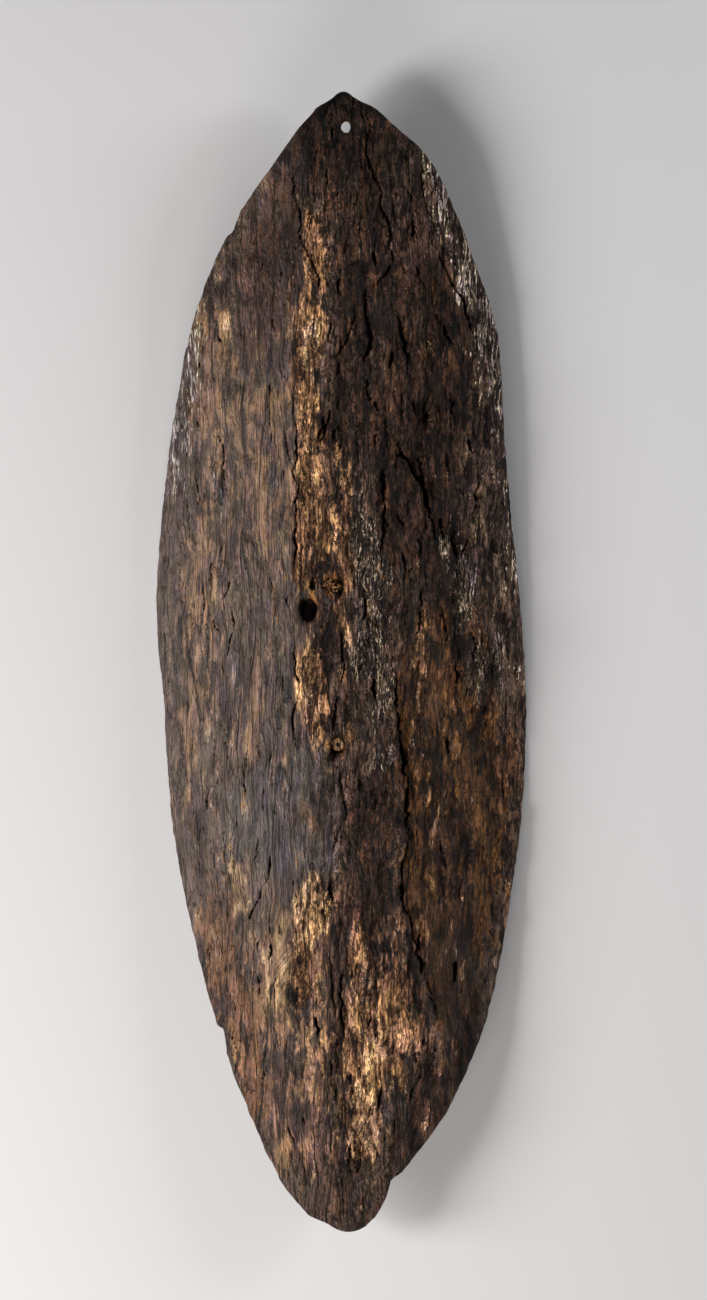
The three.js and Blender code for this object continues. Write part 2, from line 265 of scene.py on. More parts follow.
SHORT_SPLITS = [
    [(-105, 283), (-101, 268), (-99, 253)], [(-58, 297), (-56, 283), (-53, 270)], [(-73, 310), (-62, 303)],
    [(-123, 258), (-119, 248)], [(-10, 296), (-9, 284), (-11, 266)], [(-54, 258), (-50, 245), (-44, 235)],
    [(-49, 205), (-48, 190), (-44, 172), (-40, 162)], [(-107, 202), (-101, 186), (-99, 150), (-94, 135)],
    [(-123, 160), (-121, 140), (-122, 125)], [(-122, 118), (-120, 104)], [(-98, 104), (-100, 98), (-105, 92)],
    [(-108, 92), (-112, 78), (-110, 62)], [(-94, 76), (-95, 62), (-103, 46)],
    [(-92, 55), (-91, 40), (-90, 28), (-96, 8), (-101, -3)], [(-118, 75), (-117, 50), (-119, 30), (-113, 15)],
    [(-111, 42), (-107, 30), (-101, 20)], [(-64, 80), (-56, 62), (-55, 48)],
    [(-44, 60), (-46, 52), (-42, 40)],
    [(-129, 182), (-131, 172)], [(-57, -70), (-58, -80), (-60, -92)], [(-63, -100), (-65, -115), (-66, -132)],
    [(-84, -90), (-81, -105), (-79, -118)], [(-113, -100), (-114, -130)], [(-139, -112), (-138, -118)],
    [(-55, -152), (-60, -168), (-62, -184), (-70, -202), (-78, -222), (-84, -238)],
    [(-68, -145), (-73, -178)], [(-72, -232), (-70, -246)], [(-59, -236), (-60, -255)],
    [(-92, -286), (-90, -298)],
    [(-50, -317), (-54, -327), (-66, -333), (-74, -336)], [(-58, -345), (-66, -352), (-68, -358)],
    [(-33, -262), (-28, -270)], [(-9, -335), (-6, -352)], [(27, -288), (25, -300), (23, -318)],
    [(72, -318), (68, -332)],
    [(12, -338), (17, -350), (18, -358)], [(-66, -398), (-61, -404)], [(3, -403), (7, -415), (13, -430)],
    [(-31, -385), (-30, -397)], [(-2, -378), (2, -400)], [(48, -378), (44, -395), (47, -412)],
    [(34, 108), (35, 96), (35, 82)],
    [(64, 190), (68, 176), (76, 158)], [(86, -145), (88, -165), (92, -185)],
    [(138, -95), (141, -120)], [(115, 10), (125, -5), (130, -16)],
    [(0, 210), (-2, 195), (0, 178), (-3, 174)],
    [(62, 345), (66, 330), (72, 312)], [(94, 290), (105, 280)], [(-8, 468), (-6, 455), (-10, 440)],
    [(-20, 440), (-22, 425)], [(-66, 345), (-68, 325)], [(57, 405), (60, 385)], [(-10, 425), (-12, 400)],
    [(18, 432), (19, 415)], [(13, -425), (14, -437)], [(-23, -45), (-26, -58)],
]
SPLIT_WIDE = 1.5
SPLIT_DEEP = 1.6

# %% [markdown]
# Between the splits that can be told apart, the surface is full of hairline checks. They are
# scattered by a seeded generator, a few millimetres to a few centimetres long, and lean
# only a little away from the grain.

# %% Scatter the hairline checks
CHECK_COUNT = 130
CHECK_WIDE = 0.65
CHECK_DEEP = 0.6


def hairline_checks(seed=11):
    """Short routes scattered over the front, all nearly along the grain."""
    rng = np.random.default_rng(seed)
    routes = []
    for _ in range(CHECK_COUNT):
        y = rng.uniform(-0.93, 0.9) * HALF_LENGTH
        left, right = np.interp(y, edge_places, edge_left), np.interp(y, edge_places, edge_right)
        x = rng.uniform(left + 8, right - 8)
        long, lean = rng.uniform(14, 60), rng.normal(0, 0.05)
        bend = rng.normal(0, 1.5)
        routes.append([(x, y), (x + bend - lean * long / 2, y - long / 2), (x - lean * long, y - long)])
    return routes


all_cracks = list(MAIN_CRACKS)
all_cracks += [dict(CREVICE, route=r, step=CREVICE_STEP * (-1)**k) for k, r in enumerate(CREVICES)]
all_cracks += [dict(route=r, wide=SPLIT_WIDE, deep=SPLIT_DEEP, step=0, reach=1) for r in SHORT_SPLITS]
all_cracks += [dict(route=r, wide=CHECK_WIDE, deep=CHECK_DEEP, step=0, reach=1) for r in hairline_checks()]
print(len(MAIN_CRACKS), "main cracks,", len(CREVICES), "crevices,")
print(len(SHORT_SPLITS), "short splits,", CHECK_COUNT, "hairline checks")


def jagged(y, seed, step, size):
    """A zigzag along the sheet with uneven teeth, about one step long and at most size high."""
    rng = np.random.default_rng(1000 + seed)
    teeth = int(3 * HALF_LENGTH / step)
    places = np.cumsum(rng.uniform(0.4, 1.6, teeth)) * step - 1.2 * HALF_LENGTH
    return size * np.interp(y, places, rng.uniform(-1, 1, teeth))


def crack_centre(crack, y, seed):
    """Where one crack lies across the sheet, at every place y along it, with its ragged wander."""
    xs, ys = zip(*crack["route"][::-1])
    return np.interp(y, ys, xs) + jagged(y, seed, 4.5, 1.0 + 0.3 * crack["wide"])


def crack_taper(crack, y):
    """1 along a crack, falling to 0 over the last part towards both its ends."""
    top, bottom = crack["route"][0][1], crack["route"][-1][1]
    ease = min(20, (top - bottom) / 2.8)
    return smooth(0, ease, top - y) * smooth(0, ease, y - bottom)


# %% [markdown]
# ## Tones
#
# The colour of the sheet is mostly a record of its life: dark smoked crust, plum-brown skin below
# it, tan and cream inner bark where that has split away, rust-coloured stains, a slate-blue bloom,
# ashen grey specks round the grip and a silvery weathered edge near the sharper tip. A few patches
# are painted light: the ashen patches on the right and the silvery edge carry painted glints, the
# silvery patches on the left and one slate patch a painted sheen, and one pale patch a painted
# highlight on the upper-left rim. Each tone is a few soft patches: the middle across and along,
# the half-width, the half-length and the strength. The fibres break the patches up later, in the
# material.

# %% Patches of each tone
TONES = dict(
    pale=[
        (-98, 272, 7, 24, 0.8), (-108, 225, 18, 34, 0.4), (-30, 275, 13, 40, 1.0), (-36, 248, 8, 22, 1.0),
        (-22, 330, 7, 24, 0.8), (-24, 360, 9, 28, 0.7), (-28, 215, 10, 34, 0.9), (-22, 140, 15, 66, 0.95),
        (-26, 98, 13, 36, 0.9), (3, 190, 7, 44, 0.8), (5, 115, 6, 44, 0.6), (-12, 182, 6, 12, 0.9),
        (-62, 225, 26, 20, 0.6), (-70, 150, 26, 66, 0.5), (-118, 60, 16, 70, 0.4), (-25, -20, 13, 46, 1.0),
        (-15, -45, 10, 20, 0.8), (-48, -85, 8, 18, 1.0), (-130, -60, 10, 30, 0.4), (-132, -110, 10, 24, 0.5),
        (-72, -30, 7, 46, 0.5), (20, -330, 34, 24, 0.9), (20, -388, 12, 44, 0.8), (45, -310, 20, 46, 0.6),
        (-40, -262, 24, 40, 0.7), (-86, -185, 10, 26, 0.8), (-24, -208, 15, 28, 0.8), (15, -245, 16, 24, 0.5),
        (-108, 130, 18, 60, 0.4), (-60, 60, 12, 60, 0.4), (-75, -60, 16, 60, 0.4), (-118, -10, 24, 60, 0.35),
        (120, 265, 10, 40, 0.3), (66, 8, 10, 20, 0.4), (-60, -300, 30, 30, 0.4), (3, 345, 6, 40, 0.3),
        # the pale patch at (-118, 262) is a painted highlight on the lit upper-left rim
        (-118, 262, 16, 50, 0.7), (-81, -314, 22, 40, 0.7), (18, -391, 16, 40, 0.9), (-52, -262, 20, 36, 0.9),
        (-47, -416, 20, 24, 0.5), (-39, -357, 18, 30, 0.4), (76, -340, 12, 26, 0.4), (72, 259, 13, 17, 0.9),
        (45, -250, 30, 50, 0.4), (80, -130, 14, 60, 0.3), (-24, 140, 16, 60, 0.8), (3, 48, 6, 50, 1.0),
        (28, 36, 5, 28, 0.7), (-20, 20, 3, 24, 0.4), (66, -20, 8, 60, 0.3), (20, -300, 30, 40, 0.5),
    ],
    cream=[
        (-28, 266, 8, 24, 0.9), (-30, -15, 7, 34, 0.45), (-50, -88, 5, 13, 0.9), (-88, -175, 7, 12, 0.9),
        (-84, -206, 7, 9, 0.9), (-27, -203, 11, 20, 0.9), (-17, -214, 7, 15, 1.0), (-50, -264, 11, 26, 1.0),
        (-34, -241, 14, 7, 0.9), (19, -388, 8, 36, 1.0), (17, -362, 6, 14, 0.8), (25, -410, 5, 16, 0.9),
        (30, -322, 10, 20, 0.6), (12, -270, 5, 20, 0.5), (-15, -372, 4, 7, 0.8), (-22, -445, 3, 10, 0.7),
        (-95, 275, 4, 14, 0.7), (-36, 150, 3, 34, 0.7), (-18, 120, 4, 26, 0.5), (4, -30, 2.4, 30, 0.2),
        (18, -391, 12, 40, 0.9), (-52, -259, 14, 22, 0.9), (-26, 145, 7, 50, 0.35),
        (-27, -20, 7, 40, 0.5), (5, 36, 4, 36, 0.7),
        (28, 36, 4, 26, 0.35), (72, 260, 9, 12, 0.45),
    ],
    rust=[
        (-104, -262, 22, 60, 0.7), (-78, -330, 20, 52, 0.6), (-100, -212, 16, 22, 0.6),
        (48, -262, 14, 28, 0.8),
        (62, -288, 12, 26, 0.6), (46, 95, 8, 24, 0.85), (77, 35, 12, 26, 0.8), (72, 268, 12, 18, 0.8),
        (12, 338, 5, 14, 0.7), (-2, 400, 7, 28, 0.6), (-12, 392, 9, 32, 0.6), (42, 425, 18, 28, 0.5),
        (6, -36, 2.4, 28, 0.8), (10, -64, 7, 9, 0.9), (5, 40, 5, 26, 0.7), (-36, -130, 9, 15, 0.8),
        (-22, -126, 6, 11, 0.7), (-62, -113, 3, 9, 0.9), (-28, -150, 11, 13, 0.6), (140, -95, 14, 44, 0.8),
        (112, 33, 8, 8, 0.7), (125, -38, 7, 11, 0.8), (50, -388, 6, 24, 0.7), (22, -430, 6, 11, 0.8),
        (-68, -430, 12, 26, 0.6), (-55, 130, 10, 40, 0.35), (-75, -370, 14, 24, 0.5), (78, 150, 8, 24, 0.4),
        (30, 285, 8, 26, 0.5), (-24, 370, 8, 20, 0.4), (100, -70, 12, 40, 0.3),
    ],
    dark=[
        (4, 474, 20, 20, 1.0), (-10, 446, 20, 28, 0.55), (95, 268, 13, 46, 0.9), (52, 262, 9, 34, 0.9),
        (21, 280, 9, 28, 0.6), (7, 284, 9, 26, 0.65), (30, 205, 15, 30, 0.9), (20, 222, 14, 24, 0.6),
        (38, 150, 12, 34, 0.8), (62, 135, 17, 28, 0.95), (98, 100, 9, 18, 1.0), (-9, 196, 8, 20, 0.9),
        (-11, 78, 12, 14, 0.9), (-14, 28, 13, 34, 0.75), (-33, 44, 6, 18, 0.9), (85, 185, 12, 36, 0.7),
        (100, 222, 10, 34, 0.6), (96, -345, 16, 18, 1.0), (76, -388, 18, 38, 1.0), (58, -418, 12, 24, 0.9),
        (104, -300, 10, 44, 0.6), (-7, -345, 4, 16, 1.0), (0, -310, 4, 12, 1.0), (-30, -430, 5, 9, 0.8),
        (13, -432, 4, 7, 1.0), (24, -130, 28, 36, 0.35), (20, -192, 18, 38, 0.4), (20, -165, 3, 7, 0.9),
        (86, -165, 4, 32, 0.8), (104, -215, 6, 32, 0.6), (68, -78, 6, 7, 0.8), (120, -5, 15, 18, 0.7),
        (75, 320, 16, 34, 0.5), (66, 200, 10, 30, 0.5), (20, -465, 26, 14, 0.3), (84, 90, 8, 30, 0.6),
        (72, 240, 42, 90, 0.45), (40, 410, 30, 60, 0.3),
        (70, 110, 30, 60, 0.55), (0, 470, 30, 30, 0.5), (-20, 430, 20, 50, 0.35), (100, 60, 26, 50, 0.4),
        (40, -200, 26, 60, 0.35), (108, -330, 16, 60, 0.6), (20, 330, 24, 50, 0.5), (0, -462, 44, 30, 0.25),
        (66, -400, 26, 44, 0.6), (-62, 330, 16, 50, 0.4), (12, 440, 40, 60, 0.45), (-45, 370, 16, 60, 0.4),
        (36, 45, 14, 60, 0.4), (36, -60, 14, 60, 0.4), (-6, -270, 10, 50, 0.4),
        (58, 30, 6, 30, 0.6), (-25, -58, 4, 6, 0.8), (78, 235, 20, 14, 0.5),
        (0, 466, 36, 30, 1.0), (25, 308, 26, 34, 0.6), (46, 206, 26, 34, 0.85), (93, -254, 18, 40, 0.4),
        (25, -126, 26, 34, 0.35), (0, 215, 16, 50, 0.5), (-19, 75, 9, 9, 0.8),
    ],
    plum=[
        (-65, 352, 13, 44, 0.9), (-50, 402, 12, 24, 0.7), (-72, 318, 15, 30, 0.85), (8, 368, 6, 38, 0.9),
        (-76, 268, 18, 26, 0.7), (-60, 288, 12, 24, 0.6), (10, 303, 10, 16, 0.6), (35, 328, 16, 24, 0.7),
        (60, 355, 18, 44, 0.7), (-40, -362, 32, 50, 0.8), (-45, -402, 26, 32, 0.7), (-6, -262, 8, 66, 0.7),
        (20, -272, 10, 22, 0.6), (10, -222, 18, 44, 0.6), (-55, -192, 14, 32, 0.5), (-64, -243, 7, 13, 1.0),
        (30, -128, 28, 40, 0.8), (36, 445, 16, 20, 0.5), (-30, 440, 18, 30, 0.6), (0, -440, 34, 40, 0.5),
        (30, 170, 20, 60, 0.5), (-85, 60, 10, 60, 0.3), (30, -190, 20, 40, 0.6), (-16, 20, 10, 40, 0.5),
    ],
    slate=[
        (-60, -122, 28, 44, 1.0), (-76, -147, 16, 30, 1.0), (-30, -92, 15, 24, 0.85), (0, -120, 20, 34, 0.5),
        (-20, -160, 20, 20, 0.8), (-45, -166, 24, 20, 0.8), (-88, -130, 12, 16, 0.7), (37, -386, 5, 11, 1.0),
        # the slate patch at (-104, 145) is a painted sheen on the left-facing slope
        (45, -95, 5, 18, 0.8), (-104, 145, 6, 22, 0.6), (-56, 150, 5, 9, 0.7), (-66, 30, 7, 54, 0.5),
        (-88, -5, 6, 34, 0.4), (-115, -65, 6, 14, 0.4), (36, -40, 8, 50, 0.5), (-40, 395, 8, 16, 0.4),
        (0, 350, 4, 50, 0.4), (-70, 380, 8, 30, 0.4), (20, -280, 8, 14, 0.4),
    ],
    ash_and_glint=[
        (20, 120, 13, 26, 0.8), (15, 85, 11, 24, 0.8), (30, 70, 13, 34, 0.65), (15, 4, 18, 13, 1.0),
        (32, -25, 13, 38, 0.9), (32, -86, 13, 12, 0.95), (28, 30, 15, 30, 0.75),
        # the patches at x of 90 and beyond are painted glints on lit fibres, not ashen specks
        (130, -10, 12, 18, 0.45), (134, 20, 8, 40, 0.5),
        (68, -76, 8, 9, 0.6), (104, 84, 8, 20, 0.5), (90, 100, 14, 30, 0.55),
        (104, 55, 14, 34, 0.55), (118, -14, 14, 34, 0.6), (96, 30, 8, 26, 0.5),
    ],
    olive=[
        (76, -60, 26, 96, 0.9), (75, -190, 20, 66, 0.9), (118, -120, 26, 96, 0.7), (86, 18, 12, 34, 0.6),
        (88, -260, 14, 50, 0.6), (110, -210, 18, 60, 0.5), (110, 40, 20, 40, 0.4), (90, 250, 16, 30, 0.3),
    ],
    # the silvery patches are weathered grey with painted glints on the lit right rim, and on the left a
    # painted sheen
    silver_and_highlight=[
        (90, 395, 11, 34, 1.0), (76, 424, 10, 20, 1.0), (108, 340, 9, 44, 0.9), (122, 290, 10, 44, 0.7),
        (132, 230, 11, 56, 0.6), (143, 130, 9, 66, 0.5), (-102, 140, 8, 26, 0.35), (112, 76, 6, 26, 0.4),
        (148, 30, 8, 60, 0.3), (-140, 200, 10, 60, 0.5), (-124, 256, 12, 40, 0.5), (-120, 320, 10, 40, 0.4),
    ],
)
print({tone: len(patches) for tone, patches in TONES.items()})


def tone_share(tone, x, y):
    """How much of one tone lies at each place, from 0 to 1, before the fibres break it up."""
    x_ragged = x + 5 * mottle(x / 11, y / 30, 121, 2)
    y_ragged = y + 15 * mottle(x / 9, y / 45, 131, 2)
    bare = np.ones(x.shape)
    for middle_x, middle_y, across, along, strength in TONES[tone]:
        far = np.square((x_ragged - middle_x) / across) + np.square((y_ragged - middle_y) / along)
        bare *= 1 - strength * np.exp(-(far**1.2))
    return 1 - bare


# %% [markdown]
# ## The relief of the front
#
# The front isn't smooth anywhere. From large to small there are broad swellings, layers of crust
# that end in a low step, scales on the rough right side, long ribs of fibre, and the grooves of
# the cracks. All of it is one height above the round of the trunk, worked out for every point.

# %% Height of the front above the round of the trunk
SWELLS = [
    dict(x=118, y=8, across=22, along=34, height=3.2),
    dict(x=88, y=150, across=24, along=60, height=2.4),
    dict(x=-96, y=-40, across=34, along=130, height=1.8),
    dict(x=10, y=200, across=26, along=70, height=-1.8),
    dict(x=-10, y=-360, across=40, along=60, height=1.8),
    dict(x=84, y=-190, across=20, along=70, height=-1.6),
    dict(x=98, y=98, across=7, along=13, height=-3.4),
    dict(x=109, y=80, across=6, along=18, height=2.0),
    dict(x=68, y=-77, across=8, along=8, height=1.6),
    dict(x=-11, y=78, across=12, along=12, height=1.2),
    dict(x=13, y=-431, across=4, along=6, height=-3.0),
    dict(x=88, y=-165, across=5, along=30, height=-2.0),
    dict(x=96, y=-165, across=5, along=36, height=1.4),
    dict(x=-26, y=-57, across=4, along=5, height=-1.2),
    dict(x=20, y=-165, across=3, along=7, height=-2.0),
    dict(x=-86, y=20, across=6, along=70, height=0.9),
    dict(x=-72, y=-40, across=5, along=60, height=0.8),
    dict(x=-102, y=-60, across=7, along=60, height=0.8),
    dict(x=-66, y=110, across=5, along=50, height=0.7),
    dict(x=-24, y=53, across=4, along=4, height=1.4),
    dict(x=-19, y=75, across=8, along=8, height=1.6),
]
CRUST_THICK = 1.3


def crust_share(x, y):
    """Above 0 where the outer crust still sits, below 0 where it has come away."""
    lost = tone_share("pale", x, y) + 0.6 * tone_share("cream", x, y)
    kept = tone_share("dark", x, y) + 0.7 * tone_share("plum", x, y) + 0.5 * tone_share("slate", x, y)
    grown = 0.5 * mottle(x / 17, y / 52, 21, 3) + 0.25 * mottle(x / 5, y / 13, 31, 2)
    return 0.9 * (kept - lost) + grown + 0.08


def crust_step(x, y):
    """Height of the crust over the inner bark, with a slightly raised border."""
    crust = crust_share(x, y)
    return CRUST_THICK * (smooth(-0.07, 0.07, crust) - 0.5) + 0.35 * np.exp(-np.square((crust - 0.05) / 0.09))


def rough_share(x, y):
    """How scaly the surface is: most on the right, round the knots and at the blunter tip."""
    right = smooth(-50, 6, x) * (1 - 0.5 * tone_share("olive", x, y)) * (1 - 0.35 * tone_share("slate", x, y))
    right = right * (1 - 0.55 * smooth(-190, -270, y))
    low = 0.5 * smooth(-180, -300, y) + smooth(230, 330, y)
    middle = tone_share("ash_and_glint", x, y) + smooth(0.3, 0.8, tone_share("pale", x, y)) * smooth(-50, -35, x)
    return np.clip(right + 0.45 * low + 0.8 * middle + 0.1, 0, 1)


def sum_of_swells(x, y):
    """All the placed swellings and dips together."""
    total = np.zeros(x.shape)
    for swell in SWELLS:
        far = np.square((x - swell["x"]) / swell["across"]) + np.square((y - swell["y"]) / swell["along"])
        total += swell["height"] * np.exp(-far)
    return total


def broad_waves(x, y):
    """The long low waves of the whole sheet."""
    return 0.9 * mottle(x / 42, y / 120, 41, 2)


def grain_bend(x, y):
    """How far the fibres wander to the side, shared by the relief and the colours."""
    return 2.2 * mottle(x / 30, y / 60, 51, 2)


def relief(x, y):
    """Height of the front above the plain round of the trunk."""
    height = sum_of_swells(x, y) + broad_waves(x, y)
    across = x + grain_bend(x, y)
    rough = rough_share(x, y)
    height += (0.22 + 0.2 * rough) * mottle(across / 4.2, y / 46, 61, 3)
    height += 0.4 * rough * mottle(across / 7, y / 15, 71, 3)
    torn_x, torn_y = across + 3 * mottle(x / 7, y / 16, 83, 2), y + 9 * mottle(x / 6, y / 20, 85, 2)
    for wide, long, seed, high in ((19, 62, 81, 2.4), (8, 25, 82, 1.9)):
        number, edge = flakes(torn_x / wide, torn_y / long, seed)
        height += high * rough * (number - 0.5) * smooth(0, 0.1, edge)
    height += 0.7 * rough * (0.4 - np.abs(mottle(across / 5, y / 22, 87, 2)))
    return height + crust_step(x, y)


FAR_FROM_CRACKS = 4.0
LIP_AWAY = 0.9


def cut_cracks(x, y, height):
    """Lowers the height along every crack.

    Also returns how far each point is past a crack's edge, how much of a crack's raised right
    lip it carries, and how far it lies below the step beside a crack.
    """
    past, lips, stepped = np.full(x.shape, FAR_FROM_CRACKS), np.zeros(x.shape), np.zeros(x.shape)
    for seed, crack in enumerate(all_cracks):
        top, bottom = crack["route"][0][1], crack["route"][-1][1]
        rows = np.nonzero((y <= top) & (y >= bottom))[0]
        away = x[rows] - crack_centre(crack, y[rows], seed)
        taper = crack_taper(crack, y[rows])
        uneven = 0.95 + jagged(y[rows], 500 + seed, 9, 0.6)
        half = crack["wide"] / 2 * (0.4 + 0.6 * taper) * uneven
        groove = np.clip(1 - np.abs(away) / (half + 0.3), 0, 1)
        height[rows] -= crack["deep"] * taper * groove
        lip = np.exp(-np.square((np.abs(away) - half - LIP_AWAY) / LIP_AWAY)) * taper
        height[rows] += (0.3 + 0.3 * np.sign(away)) * lip * min(crack["wide"], 2) / 2
        lips[rows] = np.maximum(lips[rows], np.where(away > 0, lip, 0))
        side = away * np.sign(crack["step"])
        fade = 1 - smooth(0, crack["reach"], side)
        stepped[rows] += np.where(side > 0, abs(crack["step"]) * taper * fade, 0)
        past[rows] = np.minimum(past[rows], np.abs(away) - half + 1.5 * np.square(1 - taper))
    height -= stepped
    return past, lips, stepped


# %% [markdown]
# ## The bark sheet
#
# A sheet like this could be sculpted by hand, but then nobody could change its length. Here it
# starts as a flat grid from -1 to 1 both ways. The grid is extruded once, so that it has a back,
# and its front is subdivided, because only the front needs thousands of small faces. The points
# are then moved: `u` across, `v` along and `w` through the thickness say where each one belongs
# on the bent sheet.

# %% Make the flat slab
SLAB_COLUMNS = 64
SLAB_ROWS = 80
FRONT_CUTS = 3
RIM_CUTS = 3


def flat_slab():
    """A thin block of faces from -1 to 1 each way, fine in front and plain behind."""
    slab = bmesh.new()
    bmesh.ops.create_grid(slab, x_segments=SLAB_COLUMNS, y_segments=SLAB_ROWS, size=1)
    bmesh.ops.translate(slab, verts=slab.verts[:], vec=(0, 0, -1))
    made = bmesh.ops.extrude_face_region(slab, geom=slab.faces[:])
    front = [item for item in made["geom"] if isinstance(item, bmesh.types.BMVert)]
    bmesh.ops.translate(slab, verts=front, vec=(0, 0, 2))
    bmesh.ops.recalc_face_normals(slab, faces=slab.faces[:])

    def corners_in_front(edge):
        return sum(corner.co.z > 0 for corner in edge.verts)

    def on_rim(edge):
        return any(abs(face.normal.z) < 0.5 for face in edge.link_faces)

    def needs_detail(edge):
        return corners_in_front(edge) == 2 or (not corners_in_front(edge) and on_rim(edge))

    fine = [edge for edge in slab.edges if needs_detail(edge)]
    bmesh.ops.subdivide_edges(slab, edges=fine, cuts=FRONT_CUTS, use_grid_fill=True)
    upright = [edge for edge in slab.edges if corners_in_front(edge) == 1]
    bmesh.ops.subdivide_edges(slab, edges=upright, cuts=RIM_CUTS)
    mesh = bpy.data.meshes.new("bark_sheet_skin")
    slab.to_mesh(mesh)
    slab.free()
    return mesh


def points_of(mesh):
    """All points of a mesh as rows of x, y and z."""
    flat = np.empty(len(mesh.vertices) * 3)
    mesh.vertices.foreach_get("co", flat)
    return flat.reshape(-1, 3)


def move_points(mesh, points):
    """Moves all points of a mesh at once."""
    mesh.vertices.foreach_set("co", np.ascontiguousarray(points).ravel())
    mesh.update()


sheet_mesh = flat_slab()
print("slab:", len(sheet_mesh.vertices), "points,", len(sheet_mesh.polygons), "faces")

# %% [markdown]
# A narrow groove needs a line of points along its bottom, or it comes out as a row of steps.
# So before the sheet is carved, the points nearest to each crack are pulled onto it and their
# neighbours are drawn a little after them.

# %% Lay the grid out and pull it to the cracks
GRID_COLUMNS = SLAB_COLUMNS * (FRONT_CUTS + 1)
PULL_REACH = 3.0
RAGGED_RIM = 0.9
RIM_GROWN = 1.7
TIP_ROUND = 5.5
TIP_REACH = 16


def laid_out(u, v):
    """Where a point of the slab lies on the sheet, across and along."""
    y = HALF_LENGTH * (1.1 * v - 0.1 * v**3)
    ragged = RAGGED_RIM * mottle(y / 13, 0.3, 91, 2) + 0.4 * mottle(y / 3.1, 0.7, 93)
    other = RAGGED_RIM * mottle(y / 13, 7.3, 95, 2) + 0.4 * mottle(y / 3.1, 5.7, 97)
    left = np.interp(y, edge_places, edge_left) + ragged - RIM_GROWN
    right = np.interp(y, edge_places, edge_right) + other + RIM_GROWN
    from_tip = HALF_LENGTH - np.abs(y)
    rounded = TIP_ROUND * u**2 * smooth(TIP_REACH, 0, from_tip) * np.sign(y)
    return left + (right - left) * (u + 1) / 2, y - rounded, (right - left) / GRID_COLUMNS


def pull_to_cracks(x, y, cell, inside):
    """Shifts points sideways so that one column follows each crack."""
    for seed, crack in enumerate(all_cracks):
        top, bottom = crack["route"][0][1], crack["route"][-1][1]
        rows = np.nonzero((y <= top) & (y >= bottom) & inside)[0]
        away = crack_centre(crack, y[rows], seed) - x[rows]
        steps = away / cell[rows]
        nearest = np.round(steps)
        shift = (steps - nearest) * cell[rows]
        ease = np.clip(1 - np.abs(nearest) / PULL_REACH, 0, 1)
        squeeze = np.interp(np.abs(nearest), (0, 1, 2, 3), (0, 0.5, 0.3, 0)) * crack_taper(crack, y[rows])
        x[rows] += shift * ease + np.sign(nearest) * squeeze * cell[rows]
    return x


u, v, w = points_of(sheet_mesh).T
across, along, cell = laid_out(u, v)
inner = np.abs(u) < 0.97
across = pull_to_cracks(across, along, cell, inner & (w > 0.9))
print("widest cell", round(cell.max(), 2), "mm")

# %% [markdown]
# ## Bending and carving
#
# Each point is first set on the round of the trunk. Then it is moved inwards by its depth in the
# bark, square to that round, and front points are moved by the relief. The rim is a little
# thinner than the middle and its corners are worn round.

# %% Bend and carve the sheet
RIM_ROUND = 4.0
RIM_DROP = 1.5


def thickness_at(u, v):
    """Thickness of the bark at a place given by its shares of the half-width and half-length."""
    return THICKNESS_RIM + (THICKNESS_MIDDLE - THICKNESS_RIM) * (1 - u**4) * (1 - v**8)


def funnel(x, y, middle_x, middle_y, across, along, deep):
    """A dip with steep sides and a flat floor."""
    far = np.square((x - middle_x) / across) + np.square((y - middle_y) / along)
    return -deep * (1 - smooth(0.35, 1.0, far))


# middle across and along, half-width, half-length, depth
HOLLOWS = [
    (-27, 44, 8.0, 12, 4.0), (-32, 44, 4.5, 11, 3.0), (-8.5, 64, 7.0, 9, 2.0), (-0.5, 63, 3.6, 9, 4.5),
    (-2.5, -71, 7.5, 10, 3.5), (-6.5, -78, 3.4, 8, 2.6), (-23.5, 66, 3.2, 5.5, 3.0),
    (4.5, 454.5, 6.0, 7.5, 1.0),
]


def hollows(x, y):
    """The dips round the two ends of the grip, the middle hole and the hanging hole."""
    return sum(funnel(x, y, *dip) for dip in HOLLOWS)


height = relief(across, along)
cut_cracks(across, along, height)
height += hollows(across, along)

thickness = thickness_at(u, v)
reach_left = np.interp(along, edge_places, edge_left)
reach_right = np.interp(along, edge_places, edge_right)
from_rim = np.minimum(across - reach_left, reach_right - across)
from_rim = np.minimum(from_rim + RIM_GROWN, HALF_LENGTH - np.abs(along))
calm = smooth(0, 10, from_rim)
height = height * (0.35 + 0.65 * calm) - RIM_DROP * np.square(1 - smooth(-1, RIM_ROUND, from_rim))

front_share = np.clip((w + 1) / 2, 0, 1)
depth = thickness * (1 - front_share) - height * front_share
turn = np.arcsin(np.clip(across / TRUNK_RADIUS, -1, 1))
bulge = np.where(np.abs(u) > 0.999, -RIM_BULGE * w**2 * np.sign(u), 0)
inset = np.where(np.abs(v) > 0.999, -RIM_BULGE * w**2 * np.sign(v), 0)
bent = np.column_stack([
    across - depth * np.sin(turn) + bulge,
    along + inset,
    CROWN - arc_drop(across) - bow_drop(along) - depth * np.cos(turn),
])
bent[:, 2] = np.maximum(bent[:, 2], 0)
move_points(sheet_mesh, bent * MM)
print("carved: height from", round(height.min(), 1), "to", round(height.max(), 1), "mm")

# %% [markdown]
# ## The grip
#
# The grip is a green stick about as thick as a thumb, bent into a bow behind the bark. Its two
# ends are pushed through the sheet from behind. A tube like this could be a curve with a round
# bevel; here a long cylinder is subdivided and laid along the bow instead, because then its
# knots, its taper and the fibres at its ends can be worked out point by point.

# %% The line of the bent stick
GRIP_TOP = (-10, 65)
GRIP_FOOT = (-2, -70)
STICK_DIAMETER = 15
STICK_END_DIAMETER = 11
FINGER_GAP = 29
STICK_SIDES = 40
STICK_STEPS = 150
STICK_CLEARANCE = 0.3
# share of the stick's length, and the side as an angle
KNOTS = [(0.27, 1.2), (0.45, -2.2), (0.62, 2.6), (0.8, -0.4)]
KNOT_HIGH = 0.9


def front_height(x, y):
    """Height of the plain front, without its fine relief."""
    return CROWN - arc_drop(x) - bow_drop(y)


def back_height(x, y):
    return front_height(x, y) - THICKNESS_MIDDLE


